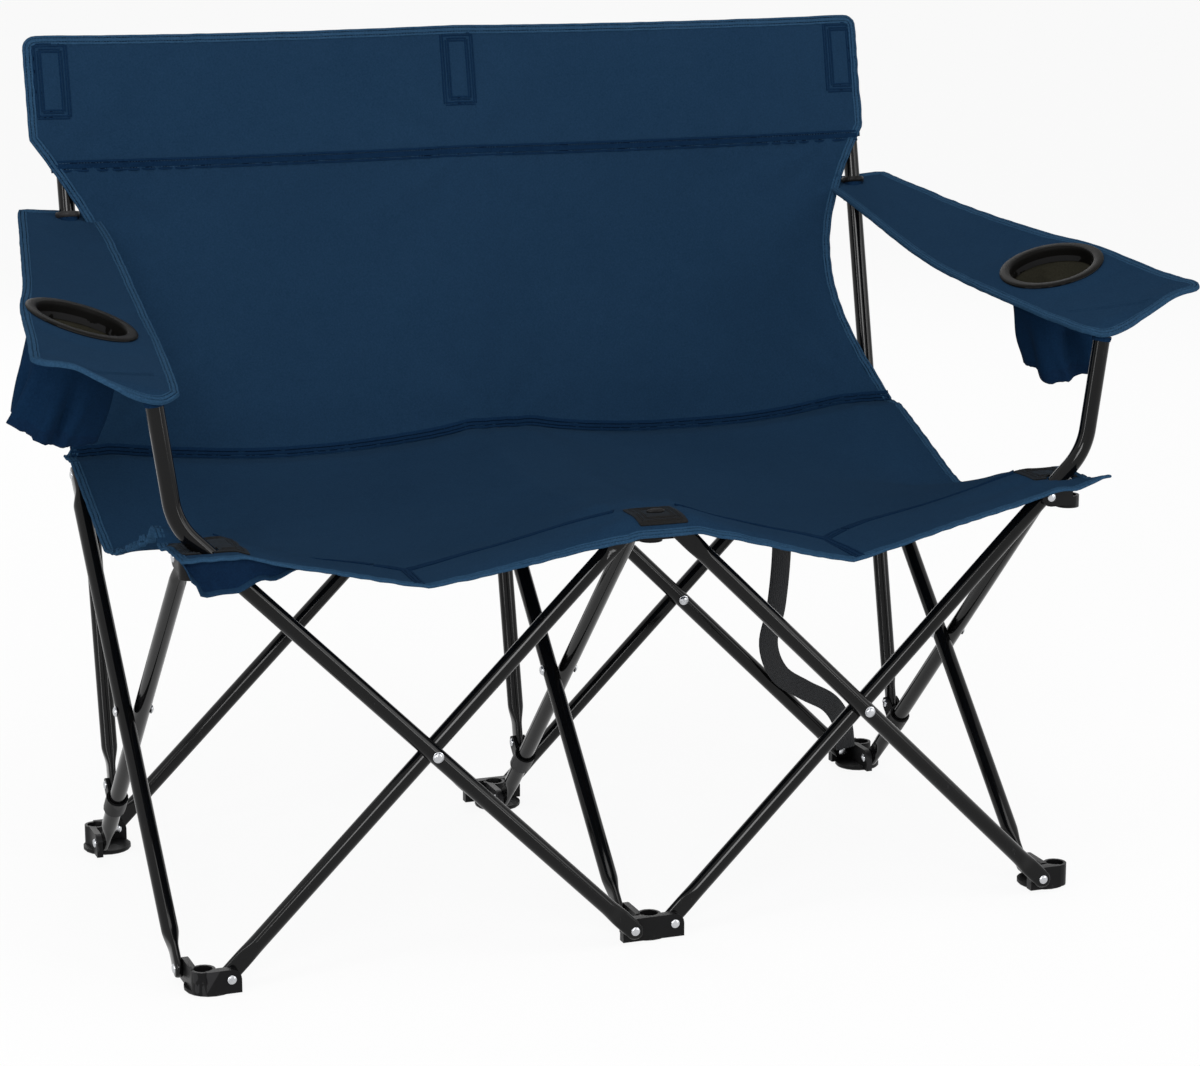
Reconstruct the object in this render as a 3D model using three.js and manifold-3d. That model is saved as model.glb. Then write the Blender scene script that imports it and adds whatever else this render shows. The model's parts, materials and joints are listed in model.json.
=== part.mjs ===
// Folding camping loveseat: two seats side by side on a steel tube frame that closes like an
// umbrella, with cloth for the seat, back and arms. Millimetres, +Z up. The front faces -Y and
// +X is the right side seen from the front. Every leg has the same length between its pivots,
// so the three columns and the two rows of legs close at the same rate.
import * as THREE from 'three';
import { mergeVertices } from 'three/addons/utils/BufferGeometryUtils.js';
import Module from 'manifold-3d';

const wasm = await Module();
wasm.setup();

const { degToRad, clamp, lerp } = THREE.MathUtils;

// Frame tube: round, hollow, its tips pressed flat around a rivet
const tubeRadius = 9;
const tubeWall = 1.2;
const tubeSides = 12;
const tipRadius = 10;
const tipThickness = 8;
const tipFlatLength = 20;
const tipTaperLength = 24;
const tipArcShares = [0.75, 0.25];
const boreSides = 8;

// Scissor frame
const legLength = 608;
const openAngle = degToRad(45.3);
const layerGap = 1;
const sideInset = 38;

// Gaps between pieces
const clearance = 0.3;
const slideGap = 0.8;
const pinchGap = 1.2;
const overrun = 1;

// Rivets
const pinRadius = 3;
const pinSides = 8;
const headRadius = 5.5;
const headHeight = 2;

// Moulded hubs and feet
const ringWall = 3;
const ringSides = 16;
const ringOutset = 2;
const ringDrop = 14;
const cupHeight = 10;
const earRadius = 10.5;
const arcSteps = 2;
const slotSteps = 4;
const sideCheekThickness = 7;
const plateThickness = 3;
const plateCorner = 6;
const footThickness = 5;
const footRadius = 27;
const footBevel = 1.5;
const footSides = 20;
const footInsetX = 8;
const footInsetY = 12;

// Back posts, sliding through the rear hubs and pivoting in clips on the side legs
const postLength = 828;
const postInset = 14;
const clipPlace = 95;
const clipWall = 3;
const clipLength = 26;
const clipEarThickness = 3.5;
const clipEarRadius = 8;
const guideInset = 10.4;
const guideTravel = 7.4;

// Arm posts, the bent upper ends of the two inner front legs
const armRun = 41;
const armBendRadius = 70;
const armBendSteps = 5;
const armLean = degToRad(8);
const armPostLength = 104;
const capHeight = 3;
const plugDepth = 14;
const capBevel = 1;

// Cloth
const clothThickness = 3;
const seatOverhang = 25;
const seatFrontReach = 34;
const seatRearInset = 10;
const edgeSag = 48;
const rearSag = 18;
const columnSag = 16;
const sideSag = 62;
const sideSagSkew = 1.5;
const bowlSag = 14;
const flatHalf = 36;
const slitHalf = 10;
const slitLength = 36;
const notchReach = 16;
const backRows = 8;
const backSide = 25;
const backSag = 24;
const bandSagShare = 0.4;
const topDip = 10;
const bandHeight = 145;
const waistDepth = 63;

// Arm pads with a cup holder each
const padThickness = 4;
const padSlopeOut = 0.298;
const padSlopeBack = 0.156;
const padFrontInset = 17;
const padFrontReach = 161;
const padRearInset = 4;
const padRearReach = 56;
const padFrontLap = 16;
const padRearLap = 6;
const padCorner = 14;
const padHeight = 176.4;
const pocketWall = 1.8;
const pocketDepth = 36;
const pocketRise = 7;
const loopLength = 30;
const cupReach = 68;
const cupY = 170;
const cupBore = 46.5;
const cupCollarWall = 1.5;
const cupFlange = 12;
const cupFlangeHeight = 5;
const cupSides = 20;
const pouchDepth = 108;
const pouchTaper = 6;
const pouchWall = 2.4;

// Small trim
const patchSize = 52;
const patchThickness = 1.6;
const buttonLength = 20;
const buttonWidth = 9;
const buttonHeight = 4;
const strapWidth = 25;
const strapThickness = 2;
const strapSteps = 26;
const strapInset = 15;
const strapRoute = [
  [115, 422], [117, 350], [115, 283], [121, 215], [131, 167],
  [116, 128], [82, 104], [48, 84], [30, 56], [25, 24],
];

// Sizes that follow from the ones above
const layerPitch = 2 * tubeRadius + layerGap;
const ringBore = tubeRadius + slideGap;
const ringRadius = ringBore + ringWall;
const insetX = ringRadius + pinchGap + tipRadius;
const insetY = sideInset;
const span = legLength * Math.sin(openAngle);
const rise = legLength * Math.cos(openAngle);
const columnPitch = span + 2 * insetX;
const rowPitch = span + 2 * insetY;
const footPivot = footThickness + tipRadius + overrun;
const hubPivot = footPivot + rise;
const tipHalf = tipThickness / 2;
const cheekNear = tipHalf + clearance;
const cheekFar = layerPitch - tipHalf - clearance;
const cheekThickness = cheekFar - cheekNear;
const plateBase = tipRadius + overrun / 2;
const plateTop = plateBase + plateThickness;
const holeRadius = (pinRadius + clearance / 2) / Math.cos(Math.PI / pinSides);
const clipRadius = tubeRadius + clearance + clipWall;
const clipOffset = clipRadius + slideGap + tipRadius;
const clipPivotY = rowPitch - insetY - clipPlace * Math.sin(openAngle)
  + clipOffset * Math.cos(openAngle);
const clipPivotZ = footPivot + clipPlace * Math.cos(openAngle)
  + clipOffset * Math.sin(openAngle);
const postLean = Math.atan2(rowPitch - postInset - clipPivotY, hubPivot - clipPivotZ);
const clothBase = hubPivot + plateTop + clearance;
const clothTop = clothBase + clothThickness;
const seatSide = columnPitch + seatOverhang;
const padLevel = hubPivot + padHeight;
const cupX = columnPitch + cupReach;

// Finishes
const paintedTube = { color: 0x17181a, roughness: 0.32, metalness: 0.55 };
const darkTube = { color: 0x26282b, roughness: 0.35, metalness: 0.6 };
const blackPlastic = { color: 0x141516, roughness: 0.5, metalness: 0 };
const steel = { color: 0xb9bcc0, roughness: 0.28, metalness: 1 };
const navyCloth = { color: 0x18304b, roughness: 0.9, metalness: 0 };
const darkPatch = { color: 0x1b1917, roughness: 0.6, metalness: 0 };
const webbing = { color: 0x16181b, roughness: 0.85, metalness: 0 };

const loveseat = new THREE.Group();
loveseat.name = 'camping_loveseat';

// Turns a closed geometry into a solid that can be joined and cut
function solid(geometry) {
  const bare = geometry.clone();
  bare.deleteAttribute('normal');
  bare.deleteAttribute('uv');
  const merged = mergeVertices(bare);
  const kept = [];
  const corners = merged.index.array;
  for (let i = 0; i < corners.length; i += 3) {
    const [a, b, c] = [corners[i], corners[i + 1], corners[i + 2]];
    if (a !== b && b !== c && c !== a) kept.push(a, b, c);
  }
  return new wasm.Manifold(new wasm.Mesh({
    numProp: 3,
    vertProperties: new Float32Array(merged.attributes.position.array),
    triVerts: new Uint32Array(kept),
  }));
}

function join(solids) {
  return solids.reduce((whole, next) => whole.add(next));
}

// One named piece; its shape is given in the axes of the group that holds it
function piece(name, finish, shape, parent = loveseat) {
  const { vertProperties, triVerts, numProp } = shape.getMesh();
  const places = new Float32Array((vertProperties.length / numProp) * 3);
  for (let i = 0; i < places.length / 3; i += 1) {
    places.set(vertProperties.subarray(i * numProp, i * numProp + 3), i * 3);
  }
  const geometry = new THREE.BufferGeometry();
  geometry.setAttribute('position', new THREE.BufferAttribute(places, 3));
  geometry.setIndex(new THREE.BufferAttribute(new Uint32Array(triVerts), 1));
  geometry.computeVertexNormals();
  const mesh = new THREE.Mesh(geometry, new THREE.MeshStandardMaterial(finish));
  mesh.name = name;
  parent.add(mesh);
  return mesh;
}

// A round bar from one point to another
function rod(from, to, radius, sides) {
  const along = new THREE.Vector3().subVectors(to, from);
  const geometry = new THREE.CylinderGeometry(radius, radius, along.length(), sides);
  const turn = new THREE.Quaternion().setFromUnitVectors(
    new THREE.Vector3(0, 1, 0), along.clone().normalize());
  geometry.applyQuaternion(turn);
  geometry.translate(...from.clone().add(to).multiplyScalar(0.5).toArray());
  return solid(geometry);
}

// A profile of radius and height turned about Z
function turned(profile, sides) {
  const geometry = new THREE.LatheGeometry(
    profile.map(([radius, height]) => new THREE.Vector2(radius, height)), sides);
  geometry.rotateX(Math.PI / 2);
  return solid(geometry);
}

// A flat outline given a thickness, centred on its own plane, with its u and v axes laid along
// two directions
function slab(outline, thickness, centre, u, v, curveSegments = arcSteps) {
  const geometry = new THREE.ExtrudeGeometry(outline, {
    depth: thickness, bevelEnabled: false, curveSegments,
  });
  geometry.translate(0, 0, -thickness / 2);
  const normal = new THREE.Vector3().crossVectors(u, v);
  geometry.applyMatrix4(new THREE.Matrix4().makeBasis(u, v, normal));
  geometry.translate(...centre.toArray());
  return solid(geometry);
}

function block(x, y, z) {
  const geometry = new THREE.BoxGeometry(x[1] - x[0], y[1] - y[0], z[1] - z[0]);
  geometry.translate((x[0] + x[1]) / 2, (y[0] + y[1]) / 2, (z[0] + z[1]) / 2);
  return solid(geometry);
}

function roundedRectangle(x, y, radius) {
  const [left, right] = x;
  const [low, high] = y;
  const shape = new THREE.Shape();
  shape.moveTo(left + radius, low);
  shape.lineTo(right - radius, low);
  shape.absarc(right - radius, low + radius, radius, -Math.PI / 2, 0);
  shape.lineTo(right, high - radius);
  shape.absarc(right - radius, high - radius, radius, 0, Math.PI / 2);
  shape.lineTo(left + radius, high);
  shape.absarc(left + radius, high - radius, radius, Math.PI / 2, Math.PI);
  shape.lineTo(left, low + radius);
  shape.absarc(left + radius, low + radius, radius, Math.PI, 1.5 * Math.PI);
  return shape;
}

// A closed skin through a row of rings that all have the same number of points
function loft(rings) {
  const sides = rings[0].length;
  const places = rings.flat().flatMap((point) => point.toArray());
  const faces = [];
  for (let ring = 0; ring < rings.length - 1; ring += 1) {
    for (let side = 0; side < sides; side += 1) {
      const a = ring * sides + side;
      const b = ring * sides + ((side + 1) % sides);
      faces.push(a, b, b + sides, a, b + sides, a + sides);
    }
  }
  const last = (rings.length - 1) * sides;
  for (let side = 1; side < sides - 1; side += 1) {
    faces.push(0, side + 1, side);
    faces.push(last, last + side, last + side + 1);
  }
  const geometry = new THREE.BufferGeometry();
  geometry.setAttribute('position', new THREE.Float32BufferAttribute(places, 3));
  geometry.setIndex(faces);
  return solid(geometry);
}

// The tube's outline at one station: round where wide and thick are alike, pressed flat elsewhere
function tubeRing({ at, turn, wide, thick }, sides) {
  const across = new THREE.Vector3(Math.cos(turn), 0, -Math.sin(turn));
  const ring = [];
  for (let side = 0; side < sides; side += 1) {
    const angle = ((side + 0.5) * 2 * Math.PI) / sides;
    const reach = thick / Math.cos(Math.PI / sides);
    const u = Math.cos(angle) * reach + Math.sign(Math.cos(angle)) * (wide - thick);
    ring.push(at.clone().addScaledVector(across, u).setY(Math.sin(angle) * reach));
  }
  return ring;
}

// A tube through its stations. Its bore runs between the pressed tips, which are solid, and on
// through an end that is left round
function tube(stations) {
  const outside = loft(stations.map((station) => tubeRing(station, tubeSides)));
  const round = stations.filter(({ thick }) => thick === tubeRadius);
  const last = round[round.length - 1];
  if (last === stations[stations.length - 1]) {
    const beyond = new THREE.Vector3(Math.sin(last.turn), 0, Math.cos(last.turn));
    round.push({ ...last, at: last.at.clone().addScaledVector(beyond, overrun) });
  }
  const inner = tubeRadius - tubeWall;
  return outside.subtract(loft(round.map((station) => tubeRing(
    { ...station, wide: inner, thick: inner }, boreSides))));
}

// The stations of a flat tip around the pivot at height z; way is -1 at the lower end
function tipStations(z, way) {
  const straight = (reach, wide, thick) => ({
    at: new THREE.Vector3(0, 0, z + way * reach), turn: 0, wide, thick,
  });
  const stations = tipArcShares.map((share) => {
    const angle = (share * Math.PI) / 2;
    return straight(tipRadius * Math.sin(angle), tipRadius * Math.cos(angle), tipHalf);
  });
  stations.push(straight(-tipFlatLength, tipRadius, tipHalf));
  stations.push(straight(-tipFlatLength - tipTaperLength, tubeRadius, tubeRadius));
  return way < 0 ? stations : stations.reverse();
}

// A rivet through a tube at height z: a head on the free face, the pin through a cheek of the
// given thickness on the side way, and a head beyond it
function legRivet(z, way, half, thickness) {
  const at = (y) => new THREE.Vector3(0, way * y, z);
  const far = half + 2 * clearance + thickness;
  return join([
    rod(at(-half - headHeight / 2), at(far + headHeight / 2), pinRadius, pinSides),
    rod(at(-half - headHeight), at(-half + tubeWall / 2), headRadius, pinSides),
    rod(at(far), at(far + headHeight), headRadius, pinSides),
  ]);
}

function crossHole(z) {
  return rod(new THREE.Vector3(0, -layerPitch, z), new THREE.Vector3(0, layerPitch, z),
    holeRadius, pinSides);
}

// A straight leg, its lower pivot at the origin and its pivots' axes along Y
function plainLeg(way, thickness) {
  return tube([...tipStations(0, -1), ...tipStations(legLength, 1)])
    .subtract(crossHole(legLength / 2))
    .add(legRivet(0, way, tipHalf, thickness))
    .add(legRivet(legLength, way, tipHalf, thickness));
}

// A front leg that runs on past its hub and bends up as the arm's post
function armStations() {
  const round = (x, z, turn) => ({
    at: new THREE.Vector3(x, 0, z), turn, wide: tubeRadius, thick: tubeRadius,
  });
  const stations = [...tipStations(0, -1), round(0, legLength + armRun, 0)];
  const bend = openAngle - armLean;
  for (let step = 1; step <= armBendSteps; step += 1) {
    const turn = (step * bend) / armBendSteps;
    stations.push(round(-armBendRadius * (1 - Math.cos(turn)),
      legLength + armRun + armBendRadius * Math.sin(turn), -turn));
  }
  const end = stations[stations.length - 1];
  stations.push(round(end.at.x - armPostLength * Math.sin(bend),
    end.at.z + armPostLength * Math.cos(bend), -bend));
  return stations;
}

const armLegStations = armStations();
const armTop = armLegStations[armLegStations.length - 1];

function armLeg(way, hubCheek) {
  return tube(armLegStations)
    .subtract(crossHole(legLength / 2))
    .add(legRivet(0, way, tipHalf, cheekThickness))
    .add(legRivet(legLength, way, tubeRadius, hubCheek));
}

// A leg in the front or rear row: lean is 1 when its top lies to the right
function rowLeg(name, shape, x, y, lean) {
  const mesh = piece(name, paintedTube, shape);
  mesh.position.set(x, y, footPivot);
  mesh.rotation.y = lean * openAngle;
  return mesh;
}

// A leg in a column: lean is 1 when its top lies to the front
function sideLeg(name, finish, shape, x, y, lean) {
  const holder = new THREE.Group();
  holder.position.set(x, y, footPivot);
  holder.rotation.z = -Math.PI / 2;
  const mesh = piece(name, finish, shape, holder);
  mesh.rotation.y = lean * openAngle;
  loveseat.add(holder);
  return mesh;
}

const armCheekOuter = layerPitch - tubeRadius - clearance - cheekNear;
const armCheekInner = cheekFar - tubeRadius - clearance;
const rearInner = rowPitch;
const rearOuter = rowPitch + layerPitch;

rowLeg('front_leg_left', plainLeg(-1, cheekThickness), insetX - columnPitch, 0, 1);
rowLeg('front_leg_right', plainLeg(1, cheekThickness), columnPitch - insetX, -layerPitch, -1);
rowLeg('rear_leg_left_outer', plainLeg(-1, cheekThickness), insetX - columnPitch, rearOuter, 1);
rowLeg('rear_leg_left_inner', plainLeg(1, cheekThickness), -insetX, rearInner, -1);
rowLeg('rear_leg_right_outer', plainLeg(-1, cheekThickness), insetX, rearOuter, 1);
rowLeg('rear_leg_right_inner', plainLeg(1, cheekThickness), columnPitch - insetX, rearInner, -1);

// The left arm leg leans to the left, so its bend is mirrored by half a turn about its own axis
const armLegLeft = rowLeg('arm_leg_left', armLeg(-1, armCheekOuter), -insetX, -layerPitch, -1);
armLegLeft.rotation.set(0, -openAngle, Math.PI, 'YXZ');
rowLeg('arm_leg_right', armLeg(-1, armCheekInner), insetX, 0, 1);

const columns = [['left', -columnPitch], ['center', 0], ['right', columnPitch]];
for (const [side, x] of columns) {
  sideLeg(`side_leg_${side}_front`, darkTube, plainLeg(1, sideCheekThickness),
    x - layerPitch, insetY, -1);
  sideLeg(`side_leg_${side}_rear`, darkTube, plainLeg(-1, sideCheekThickness),
    x, rowPitch - insetY, 1);
}

// A rivet through both tubes where two legs cross
function crossRivet() {
  const reach = layerPitch / 2 + tubeRadius + clearance;
  const at = (y) => new THREE.Vector3(0, y, 0);
  return join([
    rod(at(-reach - headHeight / 2), at(reach + headHeight / 2), pinRadius, pinSides),
    rod(at(-reach - headHeight), at(-reach), headRadius, pinSides),
    rod(at(reach), at(reach + headHeight), headRadius, pinSides),
  ]);
}

const crossLevel = footPivot + rise / 2;
const rowCrossings = [
  ['front_left', -columnPitch / 2, -layerPitch / 2],
  ['front_right', columnPitch / 2, -layerPitch / 2],
  ['rear_left', -columnPitch / 2, rearInner + layerPitch / 2],
  ['rear_right', columnPitch / 2, rearInner + layerPitch / 2],
];
for (const [place, x, y] of rowCrossings) {
  piece(`cross_rivet_${place}`, steel, crossRivet()).position.set(x, y, crossLevel);
}
for (const [side, x] of columns) {
  const rivet = piece(`cross_rivet_side_${side}`, steel, crossRivet());
  rivet.position.set(x - layerPitch / 2, rowPitch / 2, crossLevel);
  rivet.rotation.z = -Math.PI / 2;
}

// A cheek of a moulding, seen along its pivot's axis: u runs from the pivot to the ring and v up.
// It is round about the pivot on the open side and runs straight to the plate or the foot
function cheekOutline(length, openWay, reach) {
  const shape = new THREE.Shape();
  shape.moveTo(length, -openWay * reach);
  shape.lineTo(-earRadius, -openWay * reach);
  shape.lineTo(-earRadius, 0);
  shape.absarc(0, 0, earRadius, openWay * Math.PI, (openWay * Math.PI) / 2, openWay > 0);
  shape.lineTo(length, openWay * earRadius);
  return shape;
}

const rightward = new THREE.Vector3(1, 0, 0);
const backward = new THREE.Vector3(0, 1, 0);
const upright = new THREE.Vector3(0, 0, 1);

function stadium(halfWidth, halfLength) {
  const shape = new THREE.Shape();
  shape.absarc(0, halfLength - halfWidth, halfWidth, 0, Math.PI);
  shape.absarc(0, halfWidth - halfLength, halfWidth, Math.PI, 2 * Math.PI);
  return shape;
}

// The slot of a rear hub is longer than the post is thick, because the post leans as the frame
// closes
const slotHalf = tubeRadius + slideGap / 2 + guideTravel;

// The room that the right arm's leg sweeps through inside its hub while the frame closes, seen
// from the front
function armSweep(x) {
  const reach = footRadius + plateTop;
  const half = tubeRadius + clearance;
  const edge = (angle, side, along) => new THREE.Vector2(
    Math.cos(angle) * side * half + Math.sin(angle) * along,
    -Math.sin(angle) * side * half + Math.cos(angle) * along);
  const outline = new THREE.Shape([
    edge(openAngle, 1, reach), edge(0, -1, reach), edge(0, -1, 0),
    edge(openAngle, -1, 0), edge(openAngle, -1, -reach), edge(0, 1, -reach),
    edge(0, 1, 0), edge(openAngle, 1, 0),
  ]);
  return slab(outline, 2 * half, new THREE.Vector3(x, 0, 0), rightward, upright);
}

// A moulding that carries leg pivots, about the point where its column meets the legs' inner
// layer. column is -1, 0 or 1, row is 1 in front and -1 at the rear, deck is true for an upper
// hub, and pivots are the places of its row legs across the corner
function moulding({ column, row, deck, pivots, near = cheekNear, far = cheekFar, ringShift = 0,
  ringTop = plateTop, plateStart = 0, guide = false }) {
  const open = deck ? -1 : 1;
  const reach = deck ? plateTop : footPivot - footBevel;
  const ringX = guide ? 0 : column * ringOutset;
  const ringY = row * (guide ? guideInset : ringShift);
  const parts = pivots.map((pivotX) => slab(
    cheekOutline(Math.abs(ringX - pivotX), open, reach), far - near,
    new THREE.Vector3(pivotX, (-row * (near + far)) / 2, 0),
    rightward.clone().multiplyScalar(Math.sign(ringX - pivotX)), upright));
  const carriesFrontLeg = (row > 0) !== deck;
  const sideX = carriesFrontLeg ? sideCheekThickness / 2 - cheekFar
    : -cheekNear - sideCheekThickness / 2;
  parts.push(slab(cheekOutline(insetY - row * ringY, open, reach), sideCheekThickness,
    new THREE.Vector3(sideX, row * insetY, 0),
    backward.clone().multiplyScalar(-row), upright));
  const ringLow = deck ? -ringDrop : footBevel - footPivot;
  const ringHigh = deck ? ringTop : cupHeight;
  let bore;
  if (guide) {
    const centre = new THREE.Vector3(ringX, ringY, (ringLow + ringHigh) / 2);
    parts.push(slab(stadium(ringRadius, slotHalf + ringWall), ringHigh - ringLow, centre,
      rightward, backward, slotSteps));
    bore = slab(stadium(ringBore, slotHalf), 2 * (ringHigh - ringLow), centre,
      rightward, backward, slotSteps);
  } else {
    const at = (z) => new THREE.Vector3(ringX, ringY, z);
    parts.push(rod(at(ringLow), at(ringHigh), ringRadius, ringSides));
    const floor = deck ? ringLow - overrun : footThickness - footPivot;
    const roof = deck ? Math.min(plateBase, ringHigh + overrun) : ringHigh + overrun;
    bore = rod(at(floor), at(roof), ringBore, ringSides);
  }
  if (deck) {
    const xs = [ringX + column * ringRadius,
      ...pivots.map((pivotX) => pivotX + Math.sign(pivotX) * earRadius)];
    const ys = [plateStart, row * (insetY + earRadius)];
    parts.push(slab(roundedRectangle([Math.min(...xs), Math.max(...xs)],
      [Math.min(...ys), Math.max(...ys)], plateCorner), plateThickness,
    new THREE.Vector3(0, 0, plateBase + plateThickness / 2), rightward, backward));
  } else {
    parts.push(turned([
      [0, 0], [footRadius - footBevel, 0], [footRadius, footBevel],
      [footRadius, footThickness], [0, footThickness],
    ], footSides).translate(-column * footInsetX, row * footInsetY, -footPivot));
  }
  let body = join(parts).subtract(bore);
  for (const pivotX of pivots) {
    body = body.subtract(rod(new THREE.Vector3(pivotX, -2 * layerPitch, 0),
      new THREE.Vector3(pivotX, 2 * layerPitch, 0), holeRadius, pinSides));
  }
  return body.subtract(rod(new THREE.Vector3(-2 * layerPitch, row * insetY, 0),
    new THREE.Vector3(2 * layerPitch, row * insetY, 0), holeRadius, pinSides));
}

const outerFace = layerPitch + tipHalf + overrun;
const armOuterFace = layerPitch - tubeRadius - clearance;
const armInnerFace = tubeRadius + clearance;
const corners = [
  ['foot_front_left', { column: -1, row: 1, deck: false, pivots: [insetX] }],
  ['foot_front_center', { column: 0, row: 1, deck: false, pivots: [-insetX, insetX] }],
  ['foot_front_right', { column: 1, row: 1, deck: false, pivots: [-insetX] }],
  ['foot_rear_left', { column: -1, row: -1, deck: false, pivots: [insetX] }],
  ['foot_rear_center', { column: 0, row: -1, deck: false, pivots: [-insetX, insetX] }],
  ['foot_rear_right', { column: 1, row: -1, deck: false, pivots: [-insetX] }],
  ['hub_front_left', { column: -1, row: 1, deck: true, pivots: [insetX], far: armOuterFace,
    ringShift: ringRadius - armOuterFace, plateStart: -armOuterFace }],
  ['hub_front_center', { column: 0, row: 1, deck: true, pivots: [-insetX, insetX],
    plateStart: -outerFace }],
  ['hub_front_right', { column: 1, row: 1, deck: true, pivots: [-insetX], near: armInnerFace,
    ringShift: ringRadius - cheekFar, ringTop: -overrun, plateStart: armInnerFace }],
  ['hub_rear_left', { column: -1, row: -1, deck: true, pivots: [insetX], guide: true,
    plateStart: outerFace }],
  ['hub_rear_center', { column: 0, row: -1, deck: true, pivots: [-insetX, insetX], guide: true,
    plateStart: outerFace }],
  ['hub_rear_right', { column: 1, row: -1, deck: true, pivots: [-insetX], guide: true,
    plateStart: outerFace }],
];
for (const [name, layout] of corners) {
  let shape = moulding(layout);
  if (name === 'hub_front_right') shape = shape.subtract(armSweep(-insetX));
  piece(name, blackPlastic, shape).position.set(layout.column * columnPitch,
    layout.row > 0 ? 0 : rowPitch, layout.deck ? hubPivot : footPivot);
}

// A point on the axis of a back post, s along it from its pivot
function postPoint(x, s) {
  return new THREE.Vector3(x, clipPivotY + s * Math.sin(postLean),
    clipPivotZ + s * Math.cos(postLean));
}

function postRoom(x, from, to) {
  return rod(postPoint(x, from), postPoint(x, to), tubeRadius + slideGap, tubeSides);
}

// A plug for the open end of a tube, standing on the end at the origin
function endCap() {
  const inside = tubeRadius - tubeWall - clearance;
  return turned([
    [0, -plugDepth], [inside, -plugDepth], [inside, clearance], [tubeRadius, clearance],
    [tubeRadius, capHeight - capBevel], [tubeRadius - capBevel, capHeight], [0, capHeight],
  ], tubeSides);
}

const clipEarFace = tipHalf + clearance + clipEarThickness;

// The pressed tip of a back post, with the rivet through both ears of its clip
function backPost() {
  const end = { at: new THREE.Vector3(0, 0, postLength), turn: 0, wide: tubeRadius,
    thick: tubeRadius };
  const at = (y) => new THREE.Vector3(0, y, 0);
  const face = clipEarFace + clearance;
  return join([
    tube([...tipStations(0, -1), end]),
    rod(at(-face - headHeight / 2), at(face + headHeight / 2), pinRadius, pinSides),
    rod(at(-face - headHeight), at(-face), headRadius, pinSides),
    rod(at(face), at(face + headHeight), headRadius, pinSides),
  ]);
}

// The clip holds a rear side leg in its collar and the post between its ears, in the leg's axes
function postClip() {
  const low = new THREE.Vector3(0, 0, clipPlace - clipLength / 2);
  const high = new THREE.Vector3(0, 0, clipPlace + clipLength / 2);
  const outline = new THREE.Shape();
  outline.moveTo(0, -clipEarRadius);
  outline.lineTo(0, clipEarRadius);
  outline.lineTo(-clipOffset, clipEarRadius);
  outline.absarc(-clipOffset, 0, clipEarRadius, Math.PI / 2, 1.5 * Math.PI);
  const ear = (side) => slab(outline, clipEarThickness,
    new THREE.Vector3(0, side * (clipEarFace - clipEarThickness / 2), clipPlace),
    rightward, upright);
  const pivot = (y) => new THREE.Vector3(-clipOffset, y, clipPlace);
  return join([rod(low, high, clipRadius, ringSides), ear(1), ear(-1)])
    .subtract(rod(low.clone().setZ(0), high.clone().setZ(legLength), tubeRadius + 2 * clearance,
      ringSides))
    .subtract(rod(pivot(-clipRadius), pivot(clipRadius), holeRadius, pinSides));
}

for (const [side, x] of columns) {
  sideLeg(`post_clip_${side}`, blackPlastic, postClip(), x, rowPitch - insetY, 1);
  const holder = new THREE.Group();
  holder.position.copy(postPoint(x, 0));
  holder.rotation.z = -Math.PI / 2;
  loveseat.add(holder);
  const leaning = new THREE.Group();
  leaning.rotation.y = -postLean;
  holder.add(leaning);
  piece(`back_post_${side}`, darkTube, backPost(), leaning);
  piece(`post_cap_${side}`, blackPlastic, endCap(), leaning).position.z = postLength;
}

// The arm posts' top ends; the left one is the right one's mirror image, one layer further out
const armX = insetX + armTop.at.x * Math.cos(openAngle) + armTop.at.z * Math.sin(openAngle);
const armZ = footPivot - armTop.at.x * Math.sin(openAngle) + armTop.at.z * Math.cos(openAngle);
const arms = [['left', -1, -layerPitch], ['right', 1, 0]];
function armPoint(way, y, s) {
  return new THREE.Vector3(way * (armX + s * Math.sin(armLean)), y, armZ + s * Math.cos(armLean));
}
for (const [side, way, y] of arms) {
  const cap = piece(`arm_cap_${side}`, blackPlastic, endCap());
  cap.position.copy(armPoint(way, y, 0));
  cap.rotation.y = way * armLean;
}

// A closed sheet over a grid of places; down gives the way from its face to its back
function sheet(across, along, place, down) {
  const faces = [];
  const places = [];
  const count = across.length * along.length;
  for (const layer of [0, 1]) {
    for (const v of along) {
      for (const u of across) {
        places.push(...place(u, v).addScaledVector(down, layer * clothThickness).toArray());
      }
    }
  }
  const quad = (a, b, c, d) => faces.push(a, b, c, a, c, d);
  for (let v = 0; v < along.length - 1; v += 1) {
    for (let u = 0; u < across.length - 1; u += 1) {
      const a = v * across.length + u;
      const d = a + across.length;
      quad(a, a + 1, d + 1, d);
      quad(count + a, count + d, count + d + 1, count + a + 1);
    }
  }
  const rim = [];
  const lastColumn = across.length - 1;
  const lastRow = (along.length - 1) * across.length;
  for (let u = 0; u < lastColumn; u += 1) rim.push(u);
  for (let v = 0; v < along.length - 1; v += 1) rim.push(v * across.length + lastColumn);
  for (let u = lastColumn; u > 0; u -= 1) rim.push(lastRow + u);
  for (let v = along.length - 1; v > 0; v -= 1) rim.push(v * across.length);
  rim.forEach((a, i) => {
    const b = rim[(i + 1) % rim.length];
    quad(a, a + count, b + count, b);
  });
  const geometry = new THREE.BufferGeometry();
  geometry.setAttribute('position', new THREE.Float32BufferAttribute(places, 3));
  geometry.setIndex(faces);
  return solid(geometry);
}

const gapShares = [0, 0.08, 0.2, 0.35, 0.5, 0.65, 0.8, 0.92, 1];
const hung = (share) => 4 * share * (1 - share);
const between = (x) => clamp((Math.abs(x) - flatHalf) / (columnPitch - 2 * flatHalf), 0, 1);
const deckEnd = insetY + earRadius;
const depthShare = (y) => clamp((y - deckEnd) / (rowPitch - 2 * deckEnd), 0, 1);

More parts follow.
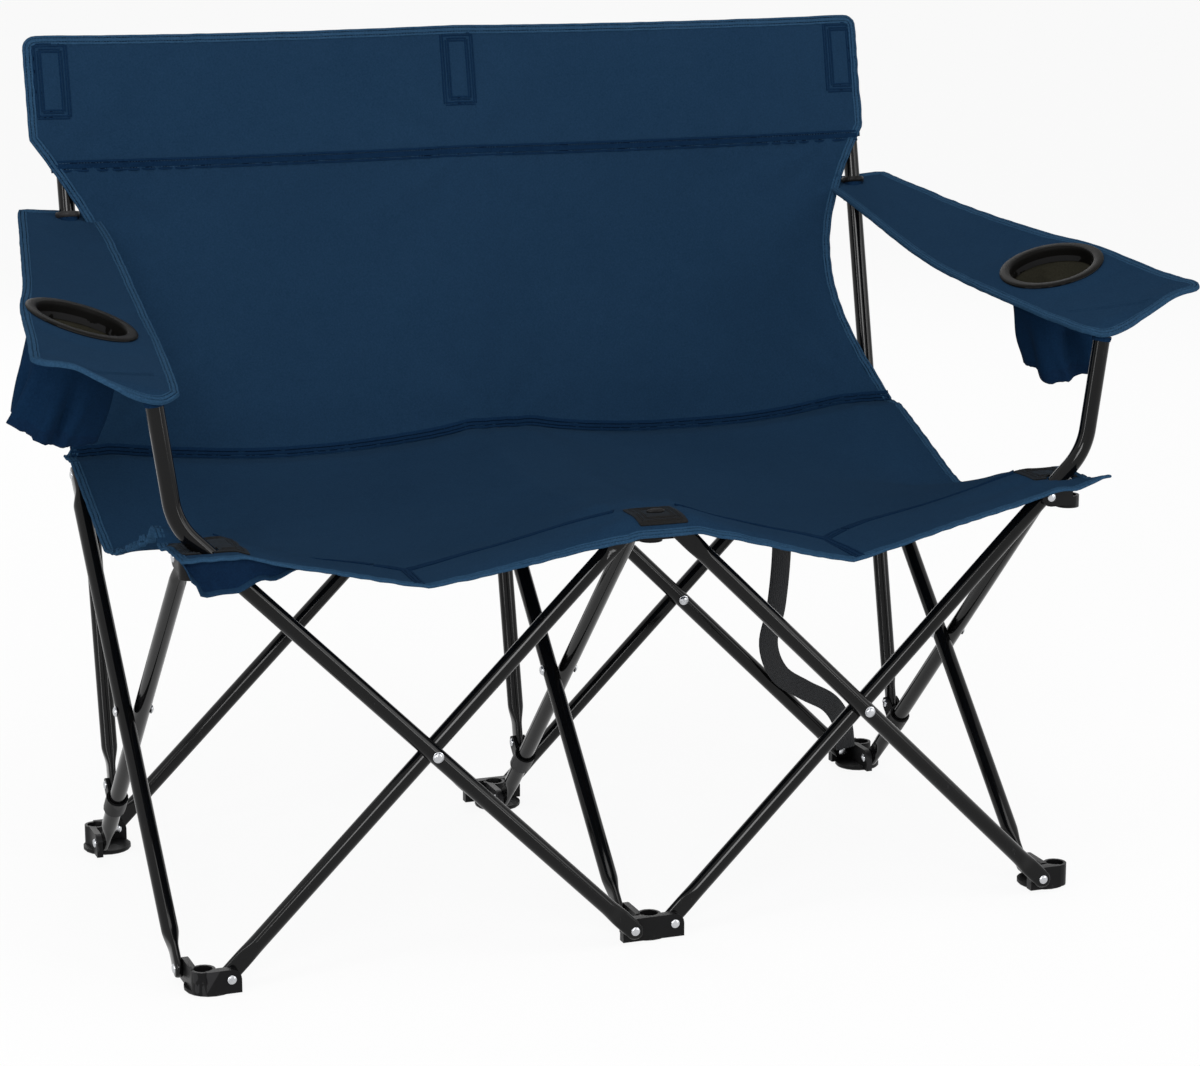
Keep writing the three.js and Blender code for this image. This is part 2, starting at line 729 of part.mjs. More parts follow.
// The seat lies flat on the hubs, hangs in a trough between the columns and dips along each column,
// most of all along its free sides
function seatPlace(x, y) {
  const trough = hung(between(x));
  const middle = hung(depthShare(y));
  const ridge = Math.abs(x) < columnPitch / 2 ? columnSag * middle
    : sideSag * hung(depthShare(y) ** sideSagSkew);
  const drop = trough * (lerp(edgeSag, rearSag, depthShare(y)) + bowlSag * middle)
    + (1 - trough) * ridge;
  return new THREE.Vector3(x, y, clothTop - drop);
}

const innerEdges = gapShares.map((share) => lerp(flatHalf, columnPitch - flatHalf, share));
const rightStations = [...innerEdges, columnPitch, seatSide];
const seatAcross = [...rightStations.map((x) => -x).reverse(), 0, ...rightStations];
const halfShares = [0, 0.3, 0.65, 1];
const seatMiddle = rowPitch / 2;
const down = upright.clone().negate();
const frontRows = halfShares.map((share) => lerp(deckEnd, seatMiddle - clearance / 2, share));
const rearRows = halfShares.map((share) => lerp(seatMiddle + clearance / 2, rowPitch - deckEnd, share));

// The arm posts pass the front of the seat: the left one in a notch, the right one in a slit
const slitX = columnPitch - insetX + (clothBase + clothThickness / 2 - hubPivot) * Math.tan(openAngle);
const notchInner = insetX - columnPitch + notchReach;
const clothRoom = [hubPivot, hubPivot + footRadius];
const seatFront = sheet(seatAcross, [-seatFrontReach, 0, ...frontRows], seatPlace, down)
  .subtract(block([-2 * seatSide, notchInner], [-2 * seatFrontReach, -armOuterFace], clothRoom))
  .subtract(block([slitX - slitLength / 2, slitX + slitLength / 2], [-slitHalf, slitHalf], clothRoom));
piece('seat_front', navyCloth, seatFront);

const seatRearEdge = rowPitch - seatRearInset;
let seatRear = sheet(seatAcross, [...rearRows, seatRearEdge], seatPlace, down);
for (const [, x] of columns) seatRear = seatRear.subtract(postRoom(x, 0, postLength));
piece('seat_rear', navyCloth, seatRear);

const patches = [
  ['left', insetX - columnPitch, patchSize / 2 - tubeRadius],
  ['center', 0, patchSize / 2 - seatFrontReach + patchThickness],
  ['right', columnPitch - insetX, patchSize / 2 + slitHalf + overrun],
];
for (const [side, x, y] of patches) {
  const half = patchSize / 2;
  const patch = piece(`seat_patch_${side}`, darkPatch, slab(
    roundedRectangle([-half, half], [-half, half], patchThickness), patchThickness,
    new THREE.Vector3(), rightward, backward));
  patch.position.set(x, y, clothTop + clearance + patchThickness / 2);
}
const button = piece('seat_button', darkPatch, slab(stadium(buttonWidth / 2, buttonLength / 2),
  buttonHeight, new THREE.Vector3(), rightward, backward));
button.rotation.z = Math.PI / 2;
button.position.set(0, patches[1][2],
  clothTop + 2 * clearance + patchThickness + buttonHeight / 2);

// The back hangs in front of the posts from a doubled band at the top, with a pocket over each
// post, and its free sides draw in below the band
const backOffset = tubeRadius + slideGap + clothThickness / 2;
const backForward = new THREE.Vector3(0, -Math.cos(postLean), Math.sin(postLean));
const backTop = postLength + capHeight + clearance + clothThickness;
const backBottom = (clothTop + 2 * clearance - clipPivotZ - backOffset * Math.sin(postLean))
  / Math.cos(postLean);
const bandStart = backTop - bandHeight;
const backRowsAt = [];
for (let row = 0; row <= backRows; row += 1) backRowsAt.push(row / backRows);

function backPlace(x, v) {
  const trough = hung(clamp(Math.abs(x) / columnPitch, 0, 1));
  const low = backBottom - (rearSag * hung(between(x))) / Math.cos(postLean);
  const s = lerp(low, backTop - topDip * trough, v);
  const waist = Math.sin(Math.PI * clamp((s - backBottom) / (bandStart - backBottom), 0, 1));
  const draw = 1 - (waistDepth * waist) / (columnPitch + backSide);
  const sag = backSag * trough * (bandSagShare * v + (1 - bandSagShare) * waist);
  return postPoint(x * draw, s).addScaledVector(backForward,
    backOffset + clothThickness / 2 - sag);
}

const backAcross = [...rightStations.slice(0, -1), columnPitch + backSide];
const backing = backForward.clone().negate();
let back = sheet([...backAcross.map((x) => -x).reverse(), 0, ...backAcross], backRowsAt,
  backPlace, backing);
for (const [, x] of columns) {
  back = back.add(rod(postPoint(x, bandStart), postPoint(x, backTop),
    tubeRadius + slideGap + clothThickness, tubeSides));
}
for (const [, x] of columns) {
  back = back.subtract(postRoom(x, 0, postLength + capHeight + clearance));
}
piece('backrest', navyCloth, back);

// The arm pads: flat cloth panels that rise to the outside and to the back
const padHalf = padThickness / 2;
const rearS = (padLevel - padSlopeOut * padFrontInset + padSlopeBack * clipPivotY
  - clipPivotZ) / (Math.cos(postLean) - padSlopeBack * Math.sin(postLean));
const padRearY = postPoint(0, rearS).y + padRearLap;

function padPlane(way) {
  const out = new THREE.Vector3(way, 0, padSlopeOut).normalize();
  const up = new THREE.Vector3(-way * padSlopeOut, -padSlopeBack, 1).normalize();
  const along = new THREE.Vector3().crossVectors(up, out);
  const level = (x, y) => padLevel + padSlopeOut * (x - columnPitch - padFrontInset)
    + padSlopeBack * y;
  const centre = new THREE.Vector3(way * cupX, cupY, level(cupX, cupY));
  const flat = (x, y) => {
    const reach = new THREE.Vector3(way * x, y, level(x, y)).sub(centre);
    return new THREE.Vector2(reach.dot(out), reach.dot(along));
  };
  return { out, up, along, centre, flat };
}

// A polygon with rounded corners
function softOutline(places, radius) {
  const shape = new THREE.Shape();
  places.forEach((corner, i) => {
    const before = places[(i + places.length - 1) % places.length];
    const after = places[(i + 1) % places.length];
    const from = corner.clone().add(before.clone().sub(corner).setLength(radius));
    const to = corner.clone().add(after.clone().sub(corner).setLength(radius));
    if (i === 0) shape.moveTo(from.x, from.y);
    else shape.lineTo(from.x, from.y);
    shape.quadraticCurveTo(corner.x, corner.y, to.x, to.y);
  });
  shape.closePath();
  return shape;
}

function placed(mesh, plane) {
  mesh.applyMatrix4(new THREE.Matrix4().makeBasis(plane.out, plane.along, plane.up)
    .setPosition(plane.centre));
}

const cupCollar = cupBore + cupCollarWall;
const cupHole = cupCollar + 4 * clearance;

function cupRing() {
  const low = padHalf + clearance;
  const rim = cupBore + cupFlange;
  const crown = low + cupFlangeHeight;
  const foot = -padHalf - cupCollarWall;
  return turned([
    [cupBore, foot], [cupCollar, foot], [cupCollar, low], [rim, low],
    [rim - cupCollarWall, crown - cupCollarWall], [rim - 3 * cupCollarWall, crown],
    [cupCollar, crown], [cupBore, crown - cupCollarWall], [cupBore, foot],
  ], cupSides);
}

function cupPouch() {
  const top = -padHalf - clearance;
  return turned([
    [0, top - pouchDepth], [cupHole - pouchTaper + pouchWall, top - pouchDepth],
    [cupHole + pouchWall, top], [cupHole, top],
    [cupHole - pouchTaper, top - pouchDepth + pouchWall], [0, top - pouchDepth + pouchWall],
  ], cupSides);
}

for (const [side, way, y] of arms) {
  const plane = padPlane(way);
  const places = [
    plane.flat(columnPitch + padFrontInset, y - padFrontLap),
    plane.flat(columnPitch + padFrontReach, y - padFrontLap / 2),
    plane.flat(columnPitch + padRearReach, padRearY),
    plane.flat(columnPitch + padRearInset, padRearY),
  ];
  if (way < 0) places.reverse();
  const outline = softOutline(places, padCorner);
  const hole = new THREE.Path();
  hole.absarc(0, 0, cupHole, 0, 2 * Math.PI, true);
  outline.holes.push(hole);
  const panel = slab(outline, padThickness, plane.centre, plane.out, plane.along, cupSides / 2);
  const outside = tubeRadius + slideGap + pocketWall;
  const x = way * columnPitch;
  const pad = join([panel,
    rod(armPoint(way, y, -pocketDepth), armPoint(way, y, capHeight + pocketRise), outside,
      tubeSides),
    rod(postPoint(x, rearS - loopLength / 2), postPoint(x, rearS + loopLength / 2), outside,
      tubeSides)])
    .subtract(rod(armPoint(way, y, -2 * pocketDepth), armPoint(way, y, capHeight + clearance),
      tubeRadius + slideGap, tubeSides))
    .subtract(postRoom(x, 0, postLength));
  piece(`arm_pad_${side}`, navyCloth, pad);
  placed(piece(`cup_ring_${side}`, blackPlastic, cupRing()), plane);
  placed(piece(`cup_pouch_${side}`, navyCloth, cupPouch()), plane);
}

// The webbing strap that hangs behind the seat and is sewn to the rear right foot
function carryStrap() {
  const y = rowPitch - strapInset;
  const topX = columnPitch - strapRoute[0][0];
  const top = Math.min(seatPlace(topX - strapWidth / 2, y).z, seatPlace(topX + strapWidth / 2, y).z)
    - clothThickness - clearance;
  const route = [new THREE.Vector3(topX, y, top),
    ...strapRoute.slice(1).map(([x, z]) => new THREE.Vector3(columnPitch - x, y, z))];
  const curve = new THREE.CatmullRomCurve3(route);
  const rings = [];
  for (let step = 0; step <= strapSteps; step += 1) {
    const share = step / strapSteps;
    const middle = curve.getPointAt(share);
    const along = share > 0 ? curve.getTangentAt(share) : down.clone();
    const across = new THREE.Vector3().crossVectors(backward, along).setLength(strapWidth / 2);
    const half = backward.clone().multiplyScalar(strapThickness / 2);
    rings.push([[1, -1], [1, 1], [-1, 1], [-1, -1]].map(([u, v]) => middle.clone()
      .addScaledVector(across, u).addScaledVector(half, v)));
  }
  return loft(rings);
}
piece('carry_strap', webbing, carryStrap());

// The origin is the middle of the outline on the floor
const middle = new THREE.Box3().setFromObject(loveseat, true).getCenter(new THREE.Vector3());
loveseat.position.set(-middle.x, -middle.y, 0);

export default loveseat;
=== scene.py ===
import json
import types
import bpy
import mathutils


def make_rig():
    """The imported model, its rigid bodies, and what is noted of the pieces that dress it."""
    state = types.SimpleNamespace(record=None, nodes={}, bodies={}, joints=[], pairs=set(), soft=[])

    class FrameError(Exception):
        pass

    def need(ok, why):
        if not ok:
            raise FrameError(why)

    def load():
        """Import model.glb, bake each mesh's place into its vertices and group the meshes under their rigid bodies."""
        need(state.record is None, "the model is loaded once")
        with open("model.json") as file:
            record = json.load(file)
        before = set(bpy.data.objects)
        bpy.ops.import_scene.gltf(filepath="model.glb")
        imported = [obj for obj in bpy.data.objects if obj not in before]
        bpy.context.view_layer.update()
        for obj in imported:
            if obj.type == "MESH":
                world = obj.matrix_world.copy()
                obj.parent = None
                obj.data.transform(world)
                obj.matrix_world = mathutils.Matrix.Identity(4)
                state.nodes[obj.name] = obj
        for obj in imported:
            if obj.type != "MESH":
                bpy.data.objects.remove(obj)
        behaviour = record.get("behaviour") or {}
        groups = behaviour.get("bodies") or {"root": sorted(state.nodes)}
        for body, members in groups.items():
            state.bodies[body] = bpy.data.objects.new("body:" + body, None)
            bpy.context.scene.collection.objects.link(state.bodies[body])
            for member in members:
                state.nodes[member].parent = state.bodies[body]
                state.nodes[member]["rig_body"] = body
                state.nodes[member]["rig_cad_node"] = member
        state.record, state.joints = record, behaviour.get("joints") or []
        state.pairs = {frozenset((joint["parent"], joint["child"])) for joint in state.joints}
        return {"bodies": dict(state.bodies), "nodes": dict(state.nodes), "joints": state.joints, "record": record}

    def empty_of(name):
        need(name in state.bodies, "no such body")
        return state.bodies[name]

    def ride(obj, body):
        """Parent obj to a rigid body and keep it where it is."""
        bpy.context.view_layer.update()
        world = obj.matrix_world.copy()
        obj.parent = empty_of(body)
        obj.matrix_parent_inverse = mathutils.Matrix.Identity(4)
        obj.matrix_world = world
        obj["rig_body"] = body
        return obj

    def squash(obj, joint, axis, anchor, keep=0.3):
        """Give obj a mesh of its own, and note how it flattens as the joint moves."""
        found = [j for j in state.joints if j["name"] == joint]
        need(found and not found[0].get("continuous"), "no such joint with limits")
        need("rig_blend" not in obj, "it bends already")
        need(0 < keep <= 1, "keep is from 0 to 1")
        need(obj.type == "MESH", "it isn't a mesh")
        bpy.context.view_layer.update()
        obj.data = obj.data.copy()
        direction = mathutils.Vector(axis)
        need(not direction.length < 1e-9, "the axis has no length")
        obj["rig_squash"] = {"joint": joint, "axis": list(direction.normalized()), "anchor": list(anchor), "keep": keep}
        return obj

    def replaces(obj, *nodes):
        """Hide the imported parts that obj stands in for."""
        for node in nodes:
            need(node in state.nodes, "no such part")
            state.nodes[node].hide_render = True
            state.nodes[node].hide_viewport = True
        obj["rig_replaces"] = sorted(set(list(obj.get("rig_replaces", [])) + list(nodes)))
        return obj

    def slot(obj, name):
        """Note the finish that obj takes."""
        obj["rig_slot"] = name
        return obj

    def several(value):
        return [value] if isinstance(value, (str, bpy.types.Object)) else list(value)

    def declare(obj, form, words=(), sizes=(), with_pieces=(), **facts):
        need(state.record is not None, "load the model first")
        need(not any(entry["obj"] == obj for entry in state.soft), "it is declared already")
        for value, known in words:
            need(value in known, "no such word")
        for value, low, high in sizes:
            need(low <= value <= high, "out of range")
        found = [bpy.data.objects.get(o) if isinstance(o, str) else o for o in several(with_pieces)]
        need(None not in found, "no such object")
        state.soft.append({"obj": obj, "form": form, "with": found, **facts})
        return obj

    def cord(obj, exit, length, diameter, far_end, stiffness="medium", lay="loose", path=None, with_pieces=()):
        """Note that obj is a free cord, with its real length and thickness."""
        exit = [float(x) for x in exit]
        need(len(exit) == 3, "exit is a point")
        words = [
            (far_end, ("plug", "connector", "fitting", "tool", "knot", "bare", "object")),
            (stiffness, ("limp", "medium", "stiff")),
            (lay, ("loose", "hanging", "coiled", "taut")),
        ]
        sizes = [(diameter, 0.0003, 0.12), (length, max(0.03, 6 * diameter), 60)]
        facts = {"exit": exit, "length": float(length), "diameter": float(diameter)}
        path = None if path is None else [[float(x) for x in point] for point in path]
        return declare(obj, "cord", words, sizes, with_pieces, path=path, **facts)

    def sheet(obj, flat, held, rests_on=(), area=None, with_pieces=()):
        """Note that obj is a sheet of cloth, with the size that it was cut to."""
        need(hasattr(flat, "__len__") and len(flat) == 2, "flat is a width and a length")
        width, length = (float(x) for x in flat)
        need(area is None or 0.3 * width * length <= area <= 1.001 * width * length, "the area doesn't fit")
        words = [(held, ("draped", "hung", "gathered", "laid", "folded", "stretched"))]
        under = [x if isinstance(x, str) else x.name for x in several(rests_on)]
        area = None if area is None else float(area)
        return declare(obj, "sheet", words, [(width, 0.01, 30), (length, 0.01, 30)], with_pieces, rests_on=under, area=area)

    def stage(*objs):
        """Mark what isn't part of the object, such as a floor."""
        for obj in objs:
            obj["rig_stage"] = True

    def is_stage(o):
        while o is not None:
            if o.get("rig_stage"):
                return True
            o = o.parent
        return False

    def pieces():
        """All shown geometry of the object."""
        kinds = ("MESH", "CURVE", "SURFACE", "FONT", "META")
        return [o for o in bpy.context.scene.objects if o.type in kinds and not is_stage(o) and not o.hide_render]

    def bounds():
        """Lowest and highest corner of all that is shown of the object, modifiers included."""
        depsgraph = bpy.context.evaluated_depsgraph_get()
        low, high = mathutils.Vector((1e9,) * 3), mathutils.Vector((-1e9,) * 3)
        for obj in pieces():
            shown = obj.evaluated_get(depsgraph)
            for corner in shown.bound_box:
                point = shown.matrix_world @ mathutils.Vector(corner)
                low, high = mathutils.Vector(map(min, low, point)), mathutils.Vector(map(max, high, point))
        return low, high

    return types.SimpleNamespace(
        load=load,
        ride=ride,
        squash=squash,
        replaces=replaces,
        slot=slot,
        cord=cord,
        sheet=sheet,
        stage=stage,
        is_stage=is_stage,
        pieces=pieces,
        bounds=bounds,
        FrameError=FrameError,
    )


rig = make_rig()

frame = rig.load()

import json
import math
import random

import bmesh
import bpy
from mathutils import Matrix, Vector, kdtree, noise

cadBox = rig.bounds()
random.seed(11)

# sizes of the frame, in metres, and where its own layout lies in the row's frame
chair = {
    "legLength": 0.608,
    "openAngle": math.radians(45.3),
    "tubeRadius": 0.009,
    "layer": 0.019,
    "insetX": 0.024,
    "insetY": 0.038,
    "footPivot": 0.016,
    "tipHalf": 0.004,
    "gap": 0.0003,
    "plateTop": 0.0135,
    "earRadius": 0.0105,
    "clothThickness": 0.003,
}
span = chair["legLength"] * math.sin(chair["openAngle"])
rise = chair["legLength"] * math.cos(chair["openAngle"])
columnPitch = span + 2 * chair["insetX"]
rowPitch = span + 2 * chair["insetY"]
hubPivot = chair["footPivot"] + rise
clothTop = hubPivot + chair["plateTop"] + chair["gap"] + chair["clothThickness"]
deckEnd = chair["insetY"] + chair["earRadius"]
footMark = next(m for m in frame["record"]["mounts"] if m["name"] == "floor_front_center")
origin = Vector(footMark["pos_m"]) - Vector((0, 0.012, 0))
sides = {"left": -1, "center": 0, "right": 1}
foldedShare = 0.195      # how far the columns close up, seen across


def at(x, y, z):
    return Vector((x, y, z)) + origin


def lerp(low, high, share):
    return low + (high - low) * share


def clamp(value, low=0.0, high=1.0):
    return max(low, min(high, value))


def smooth(value):
    value = clamp(value)
    return value * value * (3 - 2 * value)


# camera
view = {"lens": 99.37, "yaw": 20.582, "pitch": 12.729, "place": (-1.21737, -3.38219, 1.1886)}


def makeCamera():
    data = bpy.data.cameras.new("camera")
    data.lens = view["lens"]
    data.sensor_width = 36
    data.clip_end = 60
    camera = bpy.data.objects.new("camera", data)
    bpy.context.scene.collection.objects.link(camera)
    yaw, pitch = math.radians(view["yaw"]), math.radians(view["pitch"])
    ahead = Vector((math.sin(yaw) * math.cos(pitch), math.cos(yaw) * math.cos(pitch),
                    -math.sin(pitch)))
    camera.location = view["place"]
    camera.rotation_euler = ahead.to_track_quat("-Z", "Y").to_euler()
    bpy.context.scene.camera = camera


makeCamera()
print("camera set")


# a socket in a material's tree, so that sums on it read as plain Python
class Wire:
    def __init__(self, tree, socket=None):
        self.tree = tree
        self.socket = socket

    def node(self, kind, settings=None, links=None, out=0):
        made = self.tree.nodes.new(kind)
        for key, value in (settings or {}).items():
            if key == "stops":
                ramp = made.color_ramp.elements
                while len(ramp) < len(value):
                    ramp.new(0.5)
                for stop, (place, colour) in zip(ramp, value):
                    stop.position = place
                    stop.color = (*colour, 1)
            else:
                setattr(made, key, value)
        for key, value in (links or {}).items():
            if isinstance(value, Wire):
                self.tree.links.new(value.socket, made.inputs[key])
            else:
                made.inputs[key].default_value = value
        return Wire(self.tree, made.outputs[out] if made.outputs else None)

    def maths(self, operation, first, second=0.0):
        return self.node("ShaderNodeMath", {"operation": operation}, {0: first, 1: second})

    def __add__(self, other):
        return self.maths("ADD", self, other)

    def __mul__(self, other):
        return self.maths("MULTIPLY", self, other)

    def __sub__(self, other):
        return self.maths("SUBTRACT", self, other)

    def __rsub__(self, other):
        return self.maths("SUBTRACT", other, self)

    def __gt__(self, other):
        return self.maths("GREATER_THAN", self, other)

    __radd__ = __add__
    __rmul__ = __mul__


def mixColour(mask, low, high):
    def colour(value):
        return value if isinstance(value, Wire) else (*value, 1)
    return mask.node("ShaderNodeMix", {"data_type": "RGBA"},
                     {0: mask, 6: colour(low), 7: colour(high)}, out=2)


def newMaterial(name, constants):
    material = bpy.data.materials.new(name)
    material.use_nodes = True
    shader = material.node_tree.nodes["Principled BSDF"]
    for key, value in constants.items():
        shader.inputs[key].default_value = value
    return material, Wire(material.node_tree)


def feed(material, **wires):
    shader = material.node_tree.nodes["Principled BSDF"]
    for key, wire in wires.items():
        material.node_tree.links.new(wire.socket, shader.inputs[key.replace("_", " ")])
    return material


def objectPlace(start):
    return start.node("ShaderNodeTexCoord", out=3)


def grainOf(start, place, scale, detail=3.0, rough=0.55):
    return start.node("ShaderNodeTexNoise", None,
                      {"Vector": place, "Scale": scale, "Detail": detail, "Roughness": rough})


def bumpOf(start, height, strength, distance):
    return start.node("ShaderNodeBump", None,
                      {"Height": height, "Strength": strength, "Distance": distance})


# cloth reads the pieces' own UV map, which is in metres across and along the cut
def clothMaterial(name, dark, light, edge, threads=0.0009, sheen=0.015, rough=0.9):
    material, start = newMaterial(name, {
        "Sheen Weight": sheen, "Sheen Roughness": 0.5, "Specular IOR Level": 0.0,
        "Sheen Tint": (0.45, 0.7, 1.0, 1)})
    flat = start.node("ShaderNodeUVMap", {"uv_map": "cut"})
    parts = start.node("ShaderNodeSeparateXYZ", None, {0: flat})
    across = parts
    along = Wire(start.tree, parts.socket.node.outputs[1])
    turn = 2 * math.pi / threads
    warp = start.maths("SINE", across * turn)
    weft = start.maths("SINE", along * turn)
    weave = warp * weft
    place = objectPlace(start)
    speck = grainOf(start, place, 520.0, 1.0)
    cloud = grainOf(start, place, 6.5, 4.0)
    slub = grainOf(start, place, 60.0, 3.0)
    tone = cloud * 0.4 + slub * 0.3 + speck * 1.3 - 0.5
    base = mixColour(tone, dark, light)
    # the 'edge' attribute mixes in the edge colour, a painted highlight on the hems' crowns broken up by the slub
    # grain; no piece here carries the attribute
    wearAndHighlight = start.node("ShaderNodeAttribute", {"attribute_name": "edge"}, out=2)
    colour = mixColour(wearAndHighlight * (slub * 0.7 + 0.3), base, edge)
    height = weave * 0.5 + speck * 0.6 + slub * 0.5
    bump = bumpOf(start, height, 0.35, 0.0004)
    return feed(material, Base_Color=colour, Roughness=slub * 0.12 + (rough - 0.06), Normal=bump)


# powder coat: fine orange peel, dull dust in patches and bare metal on the rubbed places
def paintMaterial(name, colour, dust):
    material, start = newMaterial(name, {
        "Metallic": 0.0, "Specular IOR Level": 0.20})
    place = objectPlace(start)
    peel = grainOf(start, place, 420.0, 2.0)
    patchy = grainOf(start, place, 14.0, 4.0)
    scratch = grainOf(start, start.node("ShaderNodeMapping", None, {
        "Vector": place, "Scale": (900.0, 900.0, 40.0)}), 1.0, 2.0)
    scratched = (scratch > 0.73) * (patchy > 0.54)
    tone = mixColour(patchy * 0.5, colour, dust)
    wearAndHighlight = mixColour(scratched * 0.35, tone, (0.09, 0.09, 0.1))
    rough = patchy * 0.06 + 0.06 + scratched * 0.15
    return feed(material, Base_Color=wearAndHighlight, Roughness=rough,
                Normal=bumpOf(start, peel, 0.012, 0.0003))


# moulded nylon: satin with a fine spark-eroded grain, paler where it has been knocked
def plasticMaterial(name, colour, rough=0.42, grain=0.25, shine=0.12):
    material, start = newMaterial(name, {"Specular IOR Level": shine})
    place = objectPlace(start)
    fine = grainOf(start, place, 1500.0, 2.0)
    broad = grainOf(start, place, 30.0, 4.0)
    tone = mixColour(broad * 0.6, colour, tuple(c * 1.8 + 0.002 for c in colour))
    edge = start.node("ShaderNodeNewGeometry", out=7)
    knocked = (edge > 0.56) * (broad > 0.45)
    tone = mixColour(knocked * 0.35, tone, (0.05, 0.05, 0.052))
    return feed(material, Base_Color=tone, Roughness=broad * 0.16 + (rough - 0.08),
                Normal=bumpOf(start, fine + broad * 0.3, grain, 0.0002))


def steelMaterial(name):
    material, start = newMaterial(name, {"Metallic": 1.0})
    place = objectPlace(start)
    ring = grainOf(start, place, 700.0, 3.0)
    broad = grainOf(start, place, 90.0, 4.0)
    tone = mixColour(broad, (0.36, 0.37, 0.39), (0.66, 0.67, 0.69))
    return feed(material, Base_Color=tone, Roughness=ring * 0.2 + 0.16,
                Normal=bumpOf(start, ring, 0.15, 0.0002))


# flat woven webbing: ribs along its length, a herringbone across
def webbingMaterial(name):
    material, start = newMaterial(name, {"Sheen Weight": 0.1, "Specular IOR Level": 0.35})
    flat = start.node("ShaderNodeUVMap", {"uv_map": "cut"})
    parts = start.node("ShaderNodeSeparateXYZ", None, {0: flat})
    across = parts
    along = Wire(start.tree, parts.socket.node.outputs[1])
    ribs = start.maths("SINE", across * (2 * math.pi / 0.0026))
    picks = start.maths("SINE", along * (2 * math.pi / 0.0016) + ribs * 1.2)
    broad = grainOf(start, objectPlace(start), 40.0, 4.0)
    tone = mixColour(picks * 0.25 + broad * 0.6, (0.0055, 0.006, 0.007), (0.02, 0.022, 0.026))
    return feed(material, Base_Color=tone, Roughness=broad * 0.2 + 0.6,
                Normal=bumpOf(start, picks * 0.5 + ribs * 0.6, 0.6, 0.0006))


paint = {
    "row": paintMaterial("blackPowderCoat", (0.0016, 0.0017, 0.0019), (0.0036, 0.0036, 0.0038)),
    # the columns' tubes: the same black coat made a little paler, a painted reflection
    "column": paintMaterial("greyPowderCoat", (0.0020, 0.0021, 0.0023), (0.0042, 0.0042, 0.0045)),
}
plastic = plasticMaterial("mouldedNylon", (0.0028, 0.0028, 0.0031))
gloss = plasticMaterial("cupRim", (0.0026, 0.0024, 0.0021), 0.5, 0.12, 0.05)
steel = steelMaterial("zincedRivet")
# the last colour given to each cloth is its painted highlight for the hems' crowns
navyShade = clothMaterial("navyInShade", (0.0032, 0.0130, 0.034), (0.0062, 0.0220, 0.055),
                          (0.030, 0.072, 0.135))
# the hems' cloth: the navy made paler, a painted highlight along the rolled edges
hemPaintedHighlight = clothMaterial("navyHem", (0.0115, 0.036, 0.074), (0.026, 0.068, 0.128),
                         (0.030, 0.072, 0.135))
cupLining = clothMaterial("cupLining", (0.032, 0.030, 0.021), (0.050, 0.047, 0.034),
                          (0.01, 0.01, 0.01), 0.0012, 0.02, 0.6)
navy = clothMaterial("navyCloth", (0.0072, 0.0231, 0.0510), (0.0124, 0.0353, 0.0730),
                     (0.030, 0.072, 0.135))
lining = clothMaterial("navyLining", (0.0035, 0.011, 0.030), (0.006, 0.020, 0.050),
                       (0.012, 0.035, 0.075))
leather = clothMaterial("coatedPatch", (0.0085, 0.0078, 0.0072), (0.019, 0.0175, 0.016),
                        (0.05, 0.047, 0.043), 0.0014, 0.05, 0.55)
thread = clothMaterial("paleThread", (0.022, 0.050, 0.092), (0.045, 0.090, 0.150),
                       (0.06, 0.11, 0.18), 0.0004)
darkThread = clothMaterial("darkThread", (0.0016, 0.0055, 0.0150), (0.0032, 0.0100, 0.0250),
                           (0.01, 0.03, 0.06), 0.0004)
patchThread = clothMaterial("patchThread", (0.022, 0.020, 0.018), (0.05, 0.046, 0.04),
                            (0.06, 0.055, 0.05), 0.0004)
webbing = webbingMaterial("blackWebbing")
print("finishes made")


# making pieces
# adds one shape, made on its own, to a piece
def merge(bm, part, matrix=None, material=0):
    bmesh.ops.remove_doubles(part, verts=part.verts, dist=1e-6)
    bmesh.ops.recalc_face_normals(part, faces=part.faces)
    if matrix:
        bmesh.ops.transform(part, matrix=matrix, verts=part.verts)
    if material is not None:
        for face in part.faces:
            face.material_index = material
    holder = bpy.data.meshes.new("holder")
    part.to_mesh(holder)
    part.free()
    bm.from_mesh(holder)
    bpy.data.meshes.remove(holder)


# a skin through rings that all have as many places; the bands named dark get the second material
def sweep(rings, closedEnds=True, dark=()):
    part = bmesh.new()
    order = part.verts.layers.int.new("order")
    count = len(rings[0])
    ring = bmesh.ops.create_circle(part, cap_ends=False, segments=count, radius=1)["verts"]
    for number, vert in enumerate(ring):
        vert[order] = number
    edges = list(part.edges)
    for number, places in enumerate(rings):
        if number:
            made = bmesh.ops.extrude_edge_only(part, edges=edges)["geom"]
            ring = [g for g in made if isinstance(g, bmesh.types.BMVert)]
            edges = [g for g in made if isinstance(g, bmesh.types.BMEdge)]
        for vert in ring:
            vert.co = places[vert[order]]
    if closedEnds:
        ends = [edge for edge in part.edges if edge.is_boundary]
        bmesh.ops.holes_fill(part, edges=ends, sides=0)
    for face in part.faces:
        numbers = sorted({vert[order] for vert in face.verts})
        if len(numbers) == 2 and numbers[0] in dark and numbers[1] == numbers[0] + 1:
            face.material_index = 1
    part.verts.layers.int.remove(order)
    return part


# a profile of radius and height turned about Z
def turned(profile, steps):
    part = bmesh.new()
    verts = [bmesh.ops.create_vert(part, co=(radius, 0, height))["vert"][0]
             for radius, height in profile]
    edges = [part.edges.new(pair) for pair in zip(verts, verts[1:])]
    bmesh.ops.spin(part, geom=verts + edges, cent=(0, 0, 0), axis=(0, 0, 1),
                   angle=2 * math.pi, steps=steps, use_merge=True, use_duplicate=False)
    return part


def pointing(place, direction):
    return Matrix.Translation(place) @ direction.to_track_quat("Z", "Y").to_matrix().to_4x4()


